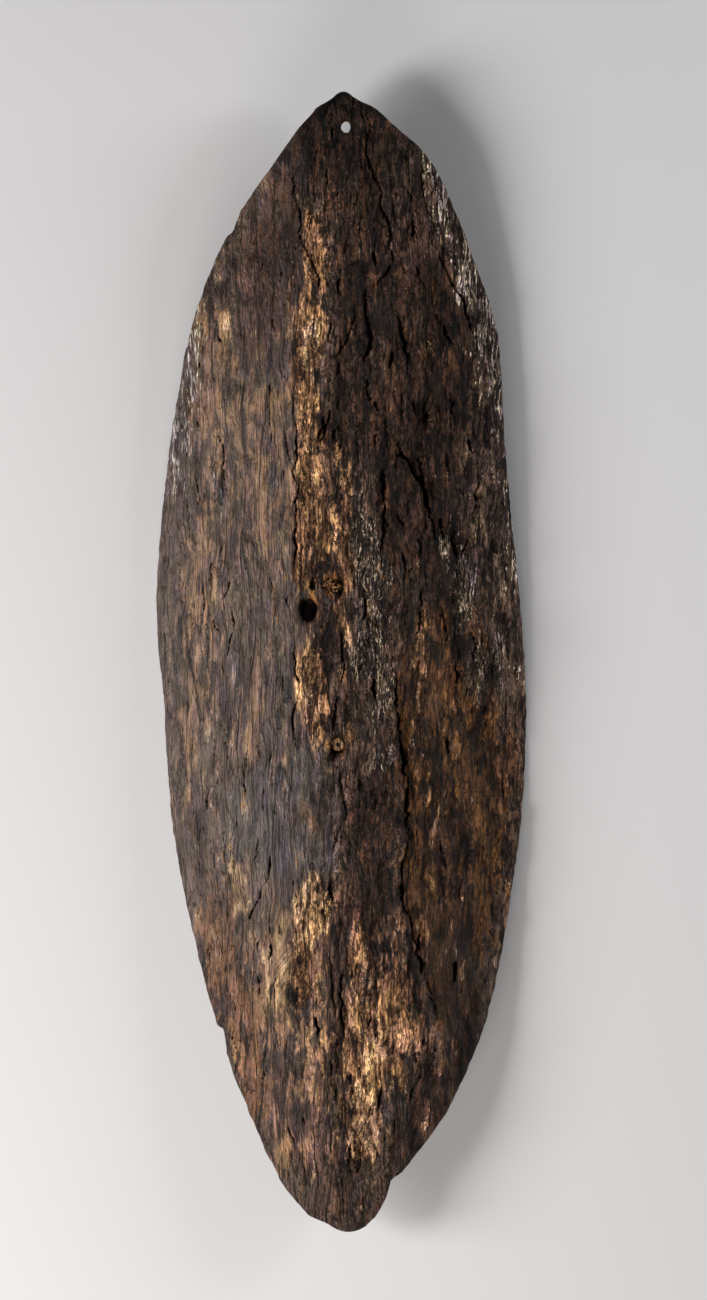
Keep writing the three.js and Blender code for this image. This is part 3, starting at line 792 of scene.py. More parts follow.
def bow_points():
    """The corner points of the bow, from the upper end on the front to the lower end."""
    grip = back_height(GRIP_FOOT[0], 0) - FINGER_GAP - STICK_DIAMETER / 2
    top, foot = np.array(GRIP_TOP), np.array(GRIP_FOOT)
    rows = [
        (0, front_height(*top) - 1.6), (0, back_height(*top)), (0.03, (back_height(*top) + 2 * grip) / 3),
        (0.14, grip + STICK_DIAMETER / 7), (0.32, grip), (0.5, grip), (0.7, grip),
        (0.87, grip + STICK_DIAMETER / 6), (0.97, (back_height(*foot) + 2 * grip) / 3),
        (1, back_height(*foot)), (1, front_height(*foot) - 1.6),
    ]
    return [np.array([*(top + share * (foot - top)), z]) for share, z in rows]


def smooth_line(corners, samples=40):
    """A smooth line through the corners, with even steps for each corner's own distance."""
    corners = [2 * corners[0] - corners[1], *corners, 2 * corners[-1] - corners[-2]]
    line = []
    for a, b, c, d in zip(corners, corners[1:], corners[2:], corners[3:]):
        knots = np.cumsum([0, *(np.sqrt(np.linalg.norm(q - p)) for p, q in ((a, b), (b, c), (c, d)))])
        for t in np.linspace(knots[1], knots[2], samples, endpoint=False):
            def blend(p, q, start, end):
                return p * (end - t) / (end - start) + q * (t - start) / (end - start)

            first = [blend(p, q, knots[i], knots[i + 1]) for i, (p, q) in enumerate(((a, b), (b, c), (c, d)))]
            second = [blend(first[i], first[i + 1], knots[i], knots[i + 2]) for i in (0, 1)]
            line.append(blend(*second, knots[1], knots[2]))
    return np.array([*line, corners[-2]])


bow_line = smooth_line(bow_points())
bow_steps = np.concatenate([[0], np.cumsum(np.linalg.norm(np.diff(bow_line, axis=0), axis=1))])
print("the bent stick is", round(bow_steps[-1]), "mm long")


def along_bow(share):
    """Points and directions at shares of the bow's length."""
    place = share * bow_steps[-1]
    point = np.column_stack([np.interp(place, bow_steps, bow_line[:, k]) for k in range(3)])
    ahead = np.column_stack([np.interp(place + 0.5, bow_steps, bow_line[:, k]) for k in range(3)])
    behind = np.column_stack([np.interp(place - 0.5, bow_steps, bow_line[:, k]) for k in range(3)])
    direction = ahead - behind
    return point, direction / np.linalg.norm(direction, axis=1, keepdims=True)


# %% Shape a stick along the bow
def straight_stick(sides, steps):
    """An upright cylinder from -1 to 1 with many rings, as a bmesh."""
    stick = bmesh.new()
    bmesh.ops.create_cone(stick, cap_ends=True, segments=sides, radius1=1, radius2=1, depth=2)
    long = [edge for edge in stick.edges if abs(edge.verts[0].co.z - edge.verts[1].co.z) > 1]
    bmesh.ops.subdivide_edges(stick, edges=long, cuts=steps - 1)
    return stick


def lay_along_bow(points, margin=0.0, knobbly=1.0):
    """Bends the points of an upright cylinder along the bow."""
    share = (1 - points[:, 2]) / 2
    line, direction = along_bow(share)
    sideways = np.array([GRIP_TOP[1] - GRIP_FOOT[1], GRIP_FOOT[0] - GRIP_TOP[0], 0.0])
    sideways /= np.linalg.norm(sideways)
    outward = np.cross(direction, sideways)
    swell = smooth(0.12, 0.3, share) * smooth(0.12, 0.3, 1 - share)
    radius = (STICK_END_DIAMETER + (STICK_DIAMETER - STICK_END_DIAMETER) * swell) / 2 + margin
    angle = np.arctan2(points[:, 1], points[:, 0])
    place = share * bow_steps[-1]
    round_x, round_y = 2 * np.cos(angle), 2 * np.sin(angle)
    uneven = 0.3 * mottle(round_x + place / 26, round_y, 101, 2)
    ribs = 0.12 * mottle(angle * 5, place / 60, 103, 2)
    for knot, side in KNOTS:
        turned = np.angle(np.exp(1j * (angle - side)))
        far = np.square(turned / 0.6) + np.square((place - knot * bow_steps[-1]) / 7)
        uneven += KNOT_HIGH * np.exp(-far)
    radius = radius + knobbly * (uneven + ribs) * swell
    spread = np.hypot(points[:, 0], points[:, 1])
    steer = (radius * spread)[:, None]
    return line + steer * (np.cos(angle)[:, None] * sideways + np.sin(angle)[:, None] * outward), share, angle


# %% [markdown]
# The way through the bark is cut with the same stick, grown by a small clearance. The middle hole
# and the hanging hole are cut with ragged oval pins. All three cutters are joined into one mesh,
# so one boolean does the work.

# %% Cut the holes through the sheet
MIDDLE_HOLE = dict(x=-25.6, y=43, wide=10.8, long=14.4, lean=0.26, ragged=0.5)
HANG_HOLE = dict(x=4.5, y=454.5, wide=7.9, long=9.8, lean=0.0, ragged=0.2)
PIN_SIDES = 40


def ragged_pin(cutter, x, y, wide, long, lean, ragged):
    """Adds an upright oval pin with an uneven outline to a bmesh of cutters."""
    made = bmesh.ops.create_cone(
        cutter, cap_ends=True, segments=PIN_SIDES, radius1=1, radius2=1, depth=4 * CROWN)
    for corner in made["verts"]:
        angle = math.atan2(corner.co.y, corner.co.x)
        uneven = 1 + ragged * 0.16 * math.sin(3 * angle + x) + ragged * 0.1 * math.sin(7 * angle + y)
        side, up = wide / 2 * uneven * math.cos(angle), long / 2 * uneven * math.sin(angle)
        corner.co.x = x + side + lean * up
        corner.co.y = y + up
        corner.co.z += CROWN / 2


def cutters():
    """The stick's way through the bark and the two holes, as one mesh in metres."""
    passage = straight_stick(24, 60)
    points = np.array([corner.co for corner in passage.verts])
    laid, share, _ = lay_along_bow(points, margin=STICK_CLEARANCE, knobbly=0)
    laid[:, 2] += np.where((share < 0.001) | (share > 0.999), THICKNESS_MIDDLE, 0)
    for corner, place in zip(passage.verts, laid):
        corner.co = place
    for hole in (MIDDLE_HOLE, HANG_HOLE):
        ragged_pin(passage, **hole)
    bmesh.ops.scale(passage, verts=passage.verts[:], vec=(MM, MM, MM))
    bmesh.ops.recalc_face_normals(passage, faces=passage.faces[:])
    mesh = bpy.data.meshes.new("cutters")
    passage.to_mesh(mesh)
    passage.free()
    return mesh


def cut_away(mesh, cutter_mesh):
    """Takes one mesh out of another and returns the result as a new mesh."""
    piece = bpy.data.objects.new("uncut", mesh)
    cutter = bpy.data.objects.new("cutter", cutter_mesh)
    for item in (piece, cutter):
        bpy.context.scene.collection.objects.link(item)
    cut = piece.modifiers.new("cut", "BOOLEAN")
    cut.operation, cut.object, cut.solver = "DIFFERENCE", cutter, "MANIFOLD"
    evaluated = piece.evaluated_get(bpy.context.evaluated_depsgraph_get())
    result = bpy.data.meshes.new_from_object(evaluated)
    for item in (piece, cutter):
        bpy.data.objects.remove(item)
    return result


pierced = cut_away(sheet_mesh, cutters())
triangles = sum(len(face.vertices) - 2 for face in pierced.polygons)
print("pierced:", len(pierced.vertices), "points,", triangles, "triangles")

# %% [markdown]
# ## What the material needs to know
#
# The material is painted by nodes, but only the mesh knows where the layers and cracks are. So
# each point carries a few numbers: where it lies on the unrolled sheet, how near it is to a
# crack, how much it stands out or lies back, whether it is crust or inner bark, and how much of
# each tone lies there. Nodes read them as attributes.

# %% Store the tones on the sheet
def store(mesh, name, values):
    """Keeps three numbers at every point of a mesh."""
    layer = mesh.attributes.new(name, "FLOAT_VECTOR", "POINT")
    layer.data.foreach_set("vector", np.ascontiguousarray(values, float).ravel())


def unrolled(points):
    """Place on the unrolled trunk, and the depth below its round."""
    x, y, z = points.T
    middle = CROWN - bow_drop(y) - TRUNK_RADIUS
    angle = np.arctan2(x, z - middle)
    return TRUNK_RADIUS * angle, y, TRUNK_RADIUS - np.hypot(x, z - middle), TRUNK_RADIUS * np.sin(angle)


# middle across and along, half-width, half-length
SCORED_PATCH = (-38, -266, 22, 34)
FRAYED_PATCHES = [(-6, 65, 13, 14), (-24, 53, 5, 5), (-2, -70, 9, 10)]


def spot(x, y, middle_x, middle_y, across, along):
    """1 in the middle of a soft oval spot, falling to 0 outside it."""
    return np.exp(-np.square((x - middle_x) / across) - np.square((y - middle_y) / along))


def dress_sheet(mesh):
    """Works out and stores everything that the bark material reads."""
    arc, y, deep, x = unrolled(points_of(mesh) / MM)
    past_crack, lips, stepped = cut_cracks(x, y, np.zeros(x.shape))
    left, right = np.interp(y, edge_places, edge_left), np.interp(y, edge_places, edge_right)
    share = np.clip((2 * x - left - right) / (right - left), -1, 1)
    front = smooth(0.88, 0.74, deep / thickness_at(share, np.clip(y / HALF_LENGTH, -1, 1)))
    dips = np.clip(-hollows(x, y) / 4, 0, 1)
    level = stepped - deep - broad_waves(x, y) - sum_of_swells(x, y) - crust_step(x, y)
    stand = np.clip(0.5 + level / 3.0, 0, 1)
    tones = {tone: tone_share(tone, x, y) for tone in TONES}
    arc = arc + grain_bend(x, y)
    scored = spot(x, y, *SCORED_PATCH)
    frayed = sum(spot(x, y, *place) for place in FRAYED_PATCHES)
    store(mesh, "grain", np.column_stack([arc, y, deep]) * MM)
    store(mesh, "state", np.column_stack([past_crack / FAR_FROM_CRACKS, front, stand]))
    store(mesh, "marks", np.column_stack([lips, scored, frayed]))
    store(mesh, "layer", np.column_stack([crust_share(x, y), dips, tones["silver_and_highlight"]]))
    store(mesh, "tones_a", np.column_stack([tones["pale"], tones["cream"], tones["rust"]]))
    store(mesh, "tones_b", np.column_stack([tones["dark"], tones["plum"], tones["slate"]]))
    store(mesh, "tones_c", np.column_stack([tones["ash_and_glint"], tones["olive"], rough_share(x, y)]))


dress_sheet(pierced)
bark_sheet = bpy.data.objects.new("bark_sheet_dressed", pierced)
bpy.context.scene.collection.objects.link(bark_sheet)
pierced.polygons.foreach_set("use_smooth", [True] * len(pierced.polygons))
print("stored", [layer.name for layer in pierced.attributes][:8])

# %% [markdown]
# ## Writing a material
#
# A node material is a recipe: each step takes numbers or colours and hands one on. These short
# helpers keep the recipes readable. `grown` is a noise stretched along the grain, `ramp` turns a
# number into a soft switch, and `paint` lays one colour over another.

# %% Helpers for node recipes
def add(tree, kind, inputs=None, out=0, **settings):
    """Adds one node, sets or links its inputs, and returns one of its outputs."""
    step = tree.nodes.new("ShaderNode" + kind)
    for name, value in settings.items():
        setattr(step, name, value)
    for name, value in (inputs or {}).items():
        if isinstance(value, bpy.types.NodeSocket):
            tree.links.new(value, step.inputs[name])
        else:
            step.inputs[name].default_value = value
    return step.outputs[out]


def sums(tree, operation, a, b=0.0, clamp=False):
    return add(tree, "Math", {0: a, 1: b}, operation=operation, use_clamp=clamp)


def plus(tree, base, extra, weight):
    """A value with some share of another one added."""
    return sums(tree, "ADD", base, sums(tree, "MULTIPLY", extra, weight))


def ramp(tree, value, low, high, start=0.0, end=1.0):
    """A soft step of a value from start to end between low and high."""
    inputs = {"Value": value, "From Min": low, "From Max": high, "To Min": start, "To Max": end}
    return add(tree, "MapRange", inputs, interpolation_type="SMOOTHSTEP")


def grown(tree, vector, across, along, detail=3.0, rough=0.55, deep=1.0):
    """Noise with blobs of the given size in millimetres across and along the grain."""
    sizes = (1 / (across * MM), 1 / (along * MM), deep)
    stretched = add(tree, "VectorMath", {0: vector, 1: sizes}, operation="MULTIPLY")
    return add(tree, "TexNoise", {"Vector": stretched, "Scale": 1.0, "Detail": detail, "Roughness": rough})


def paint(tree, share, below, above, blend="MIX"):
    """Lays one colour over another by a share from 0 to 1."""
    return add(tree, "Mix", {0: share, 6: below, 7: above}, out=2, data_type="RGBA", blend_type=blend)


def parts(tree, name):
    """The three numbers kept under one attribute name."""
    vector = add(tree, "Attribute", out=1, attribute_name=name)
    split = tree.nodes.new("ShaderNodeSeparateXYZ")
    tree.links.new(vector, split.inputs[0])
    return list(split.outputs)


def earth(red, green, blue):
    """A colour given as it looks on a screen, 0 to 255, turned into the light that nodes need."""
    def light(value):
        value /= 255
        return value / 12.92 if value <= 0.04045 else ((value + 0.055) / 1.055) ** 2.4

    return light(red), light(green), light(blue), 1.0


# %% [markdown]
# ## The bark
#
# Every tone has a darker and a lighter shade, and the fibres choose between them. A tone's patch
# only appears where its share plus some noise passes a threshold, which gives the ragged, streaky
# borders of real bark. Plates and chips are two sizes of ragged scales, which show most on the
# rough right side. Cracks, splits and dips are painted nearly black as shade, heights and edges
# that stand out are lightened as rubbed wear and painted light, low-lying parts get painted shade,
# crack lips get a painted highlight, and the worn crust on the left is smoother than the flaking
# crust on the right.

# %% The bark material
BARE = (earth(46, 36, 33), earth(111, 94, 87))
SHADES = dict(
    pale=(earth(80, 57, 44), earth(184, 148, 118)),
    cream=(earth(104, 78, 60), earth(226, 196, 160)),
    rust=(earth(62, 42, 31), earth(142, 104, 78)),
    dark=(earth(5, 3, 2), earth(68, 47, 36)),
    plum=(earth(28, 20, 19), earth(112, 87, 80)),
    slate=(earth(16, 13, 17), earth(104, 95, 98)),
    olive=(earth(26, 16, 8), earth(102, 70, 38)),
)
ASH_AND_GLINT = (earth(24, 19, 17), earth(190, 180, 172))
SILVER_AND_HIGHLIGHT = (earth(54, 45, 43), earth(240, 232, 230))
FRAY = (earth(24, 14, 9), earth(150, 108, 68))
INNER = (earth(70, 45, 30), earth(134, 96, 66))
# near-black painted shade, laid into cracks, splits, gaps between scales, under crust borders and in hollows
SHADE_BLACK = earth(7, 4, 3)
PURPLE = (0.95, 0.88, 1.04, 1.0)
GOLD = (1.04, 1.04, 0.78, 1.0)
RUSTY = (1.12, 0.97, 0.84, 1.0)
ROUGH_LOW = (0.7, 0.6, 0.52, 1.0)
ROUGH_HIGH = (2.3, 2.12, 1.92, 1.0)
DARK_AREA = (0.8, 0.79, 0.8, 1.0)
LIGHT_AREA = (1.2, 1.2, 1.18, 1.0)
# heights are lightened both as rubbed wear and as painted light
RUBBED_AND_LIT = (1.4, 1.36, 1.3)
# the right lip of each crack gets a painted highlight
LIP_HIGHLIGHT = (1.5, 1.38, 1.25)
# low-lying parts are darkened as painted shade
LOW_LYING_SHADE = (0.3, 0.25, 0.22)
CRACK_SHADE = (0.25, 0.2, 0.18)
SCORE_SHADE = (0.42, 0.36, 0.3)
SCORE_TURN = 0.66
PLATE_WIDE = 14
PLATE_LONG = 420


def scales(tree, way, across, along):
    """Irregular scales: a number for each, and how far the nearest edge is."""
    sizes = (1 / (across * MM), 1 / (along * MM), 0.0)
    cells = add(tree, "VectorMath", {0: way, 1: sizes}, operation="MULTIPLY")
    number = add(tree, "TexVoronoi", {"Vector": cells, "Scale": 1.0}, out=1, voronoi_dimensions="2D")
    split = tree.nodes.new("ShaderNodeSeparateXYZ")
    tree.links.new(number, split.inputs[0])
    edge = add(tree, "TexVoronoi", {"Vector": cells, "Scale": 1.0}, feature="DISTANCE_TO_EDGE",
               voronoi_dimensions="2D")
    return split.outputs[0], edge


def bark_patterns(tree, grain):
    """The noises, fibres and plates that the bark is painted with."""
    # the fibres run along the sheet and wander a little to either side
    wave = add(tree, "VectorMath", {0: grain, 1: (36.0, 14.0, 60.0)}, operation="MULTIPLY")
    wave = add(tree, "TexNoise", {"Vector": wave, "Scale": 1.0, "Detail": 3.0}, out=1)
    wave = add(tree, "VectorMath", {0: wave, 1: (0.5, 0.5, 0.5)}, operation="SUBTRACT")
    wave = add(tree, "VectorMath", {0: wave, 1: (0.012, 0.0, 0.0)}, operation="MULTIPLY")
    way = add(tree, "VectorMath", {0: grain, 1: wave}, operation="ADD")
    made = dict(
        way=way, fine=grown(tree, way, 1.5, 15, 1, 0.6), ribs=grown(tree, way, 3.4, 46, 2, 0.6),
        bundles=grown(tree, way, 10, 90, 3, 0.55), blotch=grown(tree, way, 8, 25, 5, 0.62),
        crumbs=grown(tree, way, 1.9, 4.2, 2, 0.65), hue=grown(tree, way, 11, 34, 4, 0.65, 250),
        other_hue=grown(tree, way, 8, 28, 4, 0.65, 410),
        broad=grown(tree, way, 26, 60, 2, 0.5, 120), vein=grown(tree, way, 5, 40, 2, 0.5, 200),
        threads=grown(tree, way, 3.2, 20, 3, 0.7, 90), hairs=grown(tree, way, 4.5, 40, 3, 0.65, 90))
    streak = sums(tree, "MULTIPLY", made["fine"], 0.34)
    streak = plus(tree, streak, made["ribs"], 0.38)
    made["streak"] = plus(tree, streak, made["bundles"], 0.28)

    # plates are ragged scales, each with a number of its own
    tear = add(tree, "VectorMath", {0: grain, 1: (80.0, 40.0, 1.0)}, operation="MULTIPLY")
    tear = add(tree, "TexNoise", {"Vector": tear, "Scale": 1.0, "Detail": 4.0, "Roughness": 0.62}, out=1)
    tear = add(tree, "VectorMath", {0: tear, 1: (0.5, 0.5, 0.5)}, operation="SUBTRACT")
    tear = add(tree, "VectorMath", {0: tear, 1: (0.034, 0.09, 0.0)}, operation="MULTIPLY")
    torn_way = add(tree, "VectorMath", {0: way, 1: tear}, operation="ADD")
    made["plate"], made["plate_edge"] = scales(tree, torn_way, 11, 34)
    made["chip"], made["chip_edge"] = scales(tree, torn_way, 4.6, 14)
    return made


def thin_lines(tree, noise, wide):
    """Thin wavy lines where a noise crosses its middle."""
    away = sums(tree, "ABSOLUTE", sums(tree, "SUBTRACT", noise, 0.5))
    return ramp(tree, away, wide, 0.0)


def bark_material():
    material = bpy.data.materials.new("smoked_bark")
    material.use_nodes = True
    tree = material.node_tree
    surface = tree.nodes["Principled BSDF"]
    grain = add(tree, "Attribute", out=1, attribute_name="grain")
    past_crack, front, stand = parts(tree, "state")
    crust, dips, silver_and_highlight = parts(tree, "layer")
    lip, scored, frayed = parts(tree, "marks")
    pale, cream, rust = parts(tree, "tones_a")
    dark, plum, slate = parts(tree, "tones_b")
    ash_and_glint, olive, rough = parts(tree, "tones_c")
    made = bark_patterns(tree, grain)
    fine, blotch, crumbs, plate = made["fine"], made["blotch"], made["crumbs"], made["plate"]

    def weighed(value, low, high, weight):
        """A noise stretched to its full range, made even round 0 and given a weight."""
        even = sums(tree, "SUBTRACT", ramp(tree, value, low, high), 0.5)
        return sums(tree, "MULTIPLY", even, weight)

    def with_rough(smooth_amount, more):
        return sums(tree, "ADD", sums(tree, "MULTIPLY", rough, more), smooth_amount)

    crumble = weighed(crumbs, 0.36, 0.64, with_rough(0.2, 0.45))
    shade = sums(tree, "ADD", weighed(made["streak"], 0.41, 0.59, with_rough(0.24, 0.12)),
                 weighed(blotch, 0.37, 0.63, with_rough(0.34, 0.4)))
    shade = sums(tree, "ADD", shade, weighed(plate, 0.0, 1.0, with_rough(0.08, 0.3)))
    shade = sums(tree, "ADD", shade, weighed(made["chip"], 0.0, 1.0, with_rough(0.04, 0.36)))
    shade = plus(tree, shade, crumble, 0.4)
    shade = sums(tree, "ADD", shade, 0.5, clamp=True)

    # the border of every patch is torn along the fibres and round the plates
    torn = sums(tree, "ADD", sums(tree, "MULTIPLY", made["streak"], 1.7), sums(tree, "MULTIPLY", blotch, 1.6))
    torn = plus(tree, torn, plate, 0.34)
    torn = plus(tree, torn, made["chip"], 0.2)
    torn = sums(tree, "SUBTRACT", torn, 1.92)
    softness = with_rough(0.22, -0.17)

    def lay(colour, share, pair, threshold=0.5, strength=1.0, by=shade):
        past = sums(tree, "SUBTRACT", sums(tree, "ADD", share, torn), threshold)
        edge = ramp(tree, sums(tree, "DIVIDE", past, softness), -1, 1, 0.0, strength)
        return paint(tree, edge, colour, paint(tree, by, *pair))

    def tinted(colour, share, tint):
        return paint(tree, share, colour, paint(tree, 1.0, colour, (*tint, 1), "MULTIPLY"))

    colour = paint(tree, shade, *BARE)
    colour = lay(colour, plum, SHADES["plum"], 0.45, 0.9)
    colour = lay(colour, olive, SHADES["olive"], 0.36, 0.95)
    colour = lay(colour, pale, SHADES["pale"], 0.42, with_rough(0.62, 0.36))
    colour = lay(colour, rust, SHADES["rust"], 0.5, 0.85)
    colour = lay(colour, slate, SHADES["slate"], 0.46, 0.9)
    colour = lay(colour, dark, SHADES["dark"], 0.4, 0.95)
    colour = lay(colour, cream, SHADES["cream"], 0.48, 0.9)
    # ashen specks, and on the right painted glints on lit fibres, as thin bright threads
    colour = lay(colour, ash_and_glint, ASH_AND_GLINT, 0.53, 0.8, thin_lines(tree, made["threads"], 0.04))
    # the silvery edge: weathered grey threads that also stand in for painted glints and sheen
    colour = lay(colour, silver_and_highlight, SILVER_AND_HIGHLIGHT, 0.43, 0.9, thin_lines(tree, made["hairs"], 0.05))
    colour = lay(colour, frayed, FRAY, 0.45, 0.95)

    # cool smoked skin and warm inner fibre take turns, and whole areas are lighter or darker
    hue = paint(tree, ramp(tree, made["hue"], 0.38, 0.6), PURPLE, GOLD)
    hue = paint(tree, ramp(tree, made["other_hue"], 0.5, 0.64, 0.0, 0.8), hue, RUSTY)
    turned = paint(tree, 1.0, colour, hue, "MULTIPLY")
    colour = paint(tree, with_rough(0.8, 0.05), colour, turned)
    lifted = paint(tree, 1.0, colour, paint(tree, shade, ROUGH_LOW, ROUGH_HIGH), "MULTIPLY")
    colour = paint(tree, rough, colour, lifted)
    area = ramp(tree, made["broad"], 0.38, 0.62)
    colour = paint(tree, 1.0, colour, paint(tree, area, DARK_AREA, LIGHT_AREA), "MULTIPLY")

    # thin splits between long plates and scales, open only here and there, filled with painted black shade
    cells = (1 / (PLATE_WIDE * MM), 1 / (PLATE_LONG * MM), 0.0)
    cells = add(tree, "VectorMath", {0: made["way"], 1: cells}, operation="MULTIPLY")
    long_edge = add(tree, "TexVoronoi", {"Vector": cells, "Scale": 1.0}, feature="DISTANCE_TO_EDGE",
                    voronoi_dimensions="2D")
    open_split = ramp(tree, blotch, 0.45, 0.6, 0.002, 0.05)
    long_split = ramp(tree, sums(tree, "DIVIDE", long_edge, open_split), 0.5, 1.2, 1.0, 0.0)
    vein_open = ramp(tree, crumbs, 0.4, 0.62, 0.001, 0.014)
    vein_line = sums(tree, "ABSOLUTE", sums(tree, "SUBTRACT", made["vein"], 0.5))
    vein_open = sums(tree, "MULTIPLY", vein_open, with_rough(1.0, 1.2))
    vein_line = ramp(tree, sums(tree, "DIVIDE", vein_line, vein_open), 0.4, 1.2, 1.0, 0.0)
    plate_open = ramp(tree, made["ribs"], 0.42, 0.58, 0.004, 0.14)
    plate_gap = ramp(tree, sums(tree, "DIVIDE", made["plate_edge"], plate_open), 0.4, 1.1, 1.0, 0.0)
    chip_open = ramp(tree, blotch, 0.5, 0.64, 0.002, 0.2)
    chip_gap = ramp(tree, sums(tree, "DIVIDE", made["chip_edge"], chip_open), 0.4, 1.1, 1.0, 0.0)
    plate_gap = sums(tree, "MAXIMUM", plate_gap, chip_gap)
    plate_gap = sums(tree, "MULTIPLY", plate_gap, with_rough(-0.05, 1.0), clamp=True)
    colour = paint(tree, sums(tree, "MULTIPLY", long_split, 0.85), colour, SHADE_BLACK)
    colour = paint(tree, sums(tree, "MULTIPLY", vein_line, 0.7), colour, SHADE_BLACK)
    colour = paint(tree, sums(tree, "MULTIPLY", plate_gap, 0.85), colour, SHADE_BLACK)

    # the scored patch: fine slanting cuts
    slanted = add(tree, "VectorRotate", {"Vector": grain, "Angle": SCORE_TURN}, rotation_type="Z_AXIS")
    scores = grown(tree, slanted, 1.3, 22, 1, 0.5)
    scores = sums(tree, "MULTIPLY", ramp(tree, scores, 0.47, 0.55), ramp(tree, scored, 0.35, 0.6))
    colour = tinted(colour, sums(tree, "MULTIPLY", scores, 0.7), SCORE_SHADE)

    # a painted shadow line under the broken border of the crust, heights lightened as rubbed wear and painted
    # light, and low-lying parts darkened as painted shade
    crust_edge = plus(tree, crust, torn, 0.12)
    under = ramp(tree, sums(tree, "ABSOLUTE", sums(tree, "ADD", crust_edge, 0.04)), 0.0, 0.05, 0.6, 0.0)
    colour = paint(tree, under, colour, SHADE_BLACK)
    level = plus(tree, stand, torn, 0.3)
    colour = tinted(colour, ramp(tree, level, 0.5, 0.95, 0.0, 0.5), RUBBED_AND_LIT)
    colour = tinted(colour, ramp(tree, level, 0.45, 0.1, 0.0, 0.6), LOW_LYING_SHADE)

    # the cracks that the mesh holds, with a thin painted shadow along them and a painted highlight on the
    # right lip
    ragged = sums(tree, "ADD", sums(tree, "MULTIPLY", crumbs, 0.8), sums(tree, "MULTIPLY", blotch, 0.6))
    reach = sums(tree, "ADD", past_crack, sums(tree, "SUBTRACT", ragged, 0.7))
    gap = ramp(tree, reach, -0.09, -0.02, 1.0, 0.0)
    colour = tinted(colour, sums(tree, "MULTIPLY", lip, 0.7), LIP_HIGHLIGHT)
    colour = tinted(colour, ramp(tree, reach, 0.0, 0.14, 0.5, 0.0), CRACK_SHADE)
    colour = paint(tree, gap, colour, SHADE_BLACK)
    # the hollows round the grip ends and the holes are painted black as shade
    sunk = plus(tree, dips, torn, 0.5)
    colour = paint(tree, ramp(tree, sunk, 0.25, 0.8, 0.0, 0.92), colour, SHADE_BLACK)
    colour = paint(tree, front, paint(tree, shade, *INNER), colour)
    tree.links.new(colour, surface.inputs["Base Color"])

    gloss = ramp(tree, shade, 0.0, 1.0, 0.54, 0.32)
    gloss = plus(tree, gloss, rough, 0.05)
    gloss = sums(tree, "ADD", gloss, sums(tree, "MULTIPLY", gap, 0.3), clamp=True)
    tree.links.new(gloss, surface.inputs["Roughness"])
    shine = sums(tree, "MULTIPLY", with_rough(0.36, -0.2), sums(tree, "SUBTRACT", 1.0, gap))
    shine = sums(tree, "MULTIPLY", shine, ramp(tree, sunk, 0.2, 0.8, 1.0, 0.1))
    tree.links.new(shine, surface.inputs["Specular IOR Level"])

    height = sums(tree, "ADD", sums(tree, "MULTIPLY", fine, 1.5), sums(tree, "MULTIPLY", made["ribs"], 2.6))
    height = sums(tree, "ADD", height, crumble)
    height = plus(tree, height, blotch, with_rough(2.6, 3.0))
    height = plus(tree, height, plate, with_rough(0.15, 1.5))
    height = plus(tree, height, made["chip"], with_rough(0.1, 1.0))
    for line, deep in ((long_split, 0.5), (vein_line, 0.4), (plate_gap, 1.0), (scores, 0.35)):
        height = sums(tree, "SUBTRACT", height, sums(tree, "MULTIPLY", line, deep))
    bump = add(tree, "Bump", {"Height": height, "Distance": MM, "Strength": 1.0})
    tree.links.new(bump, surface.inputs["Normal"])
    return material


bark_sheet.data.materials.clear()
bark_sheet.data.materials.append(bark_material())
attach(bark_sheet, "root")
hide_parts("bark_sheet")
print("bark sheet dressed")

# %% [markdown]
# ## The grip, dressed
#
# The stick keeps faint ribs and four knots. Its upper end was beaten into a brush of fibres when
# it was driven through; its lower end was cut and shows a ring of wood round a dark pith. The
# brush is a bundle of short tapered splinters, each only a few faces.

# %% Build the grip
BRUSH = dict(x=GRIP_TOP[0] + 1, y=GRIP_TOP[1] - 1, wide=15, count=180, long=(4.0, 9.5), thick=(0.8, 1.8))
BRUSH_SINKS = 3.5
FOOT_STANDS = 0.4


def splinter(bundle, foot, lean, long, thick):
    """Adds one tapered splinter that stands on foot and points along lean."""
    made = bmesh.ops.create_cone(
        bundle, cap_ends=True, segments=5, radius1=thick / 2, radius2=thick / 5, depth=long)
    turn = Vector((0, 0, 1)).rotation_difference(Vector(lean)).to_matrix()
    bmesh.ops.translate(bundle, verts=made["verts"], vec=(0, 0, long / 2))
    bmesh.ops.rotate(bundle, verts=made["verts"], cent=(0, 0, 0), matrix=turn)
    bmesh.ops.translate(bundle, verts=made["verts"], vec=foot)


def tuft(bundle, rng, x, y, wide, count, long, thick, height):
    """Adds a round brush of splinters that lean outwards and across each other."""
    for _ in range(count):
        way = rng.uniform(0, 2 * math.pi)
        ragged = 1 + 0.22 * math.sin(2 * way + 0.6) + 0.2 * math.sin(3 * way) + 0.14 * math.sin(5 * way + 2)
        far = wide / 2 * ragged * math.sqrt(rng.uniform(0, 1))
        side = np.array([math.cos(way), math.sin(way)])
        lean = 0.12 * far * side + rng.normal(0, 0.6, 2)
        foot = (x + 0.8 * far * side[0], y + 0.8 * far * side[1], height - 0.12 * far)
        splinter(bundle, foot, (lean[0], lean[1], 1.0), rng.uniform(*long), rng.uniform(*thick))


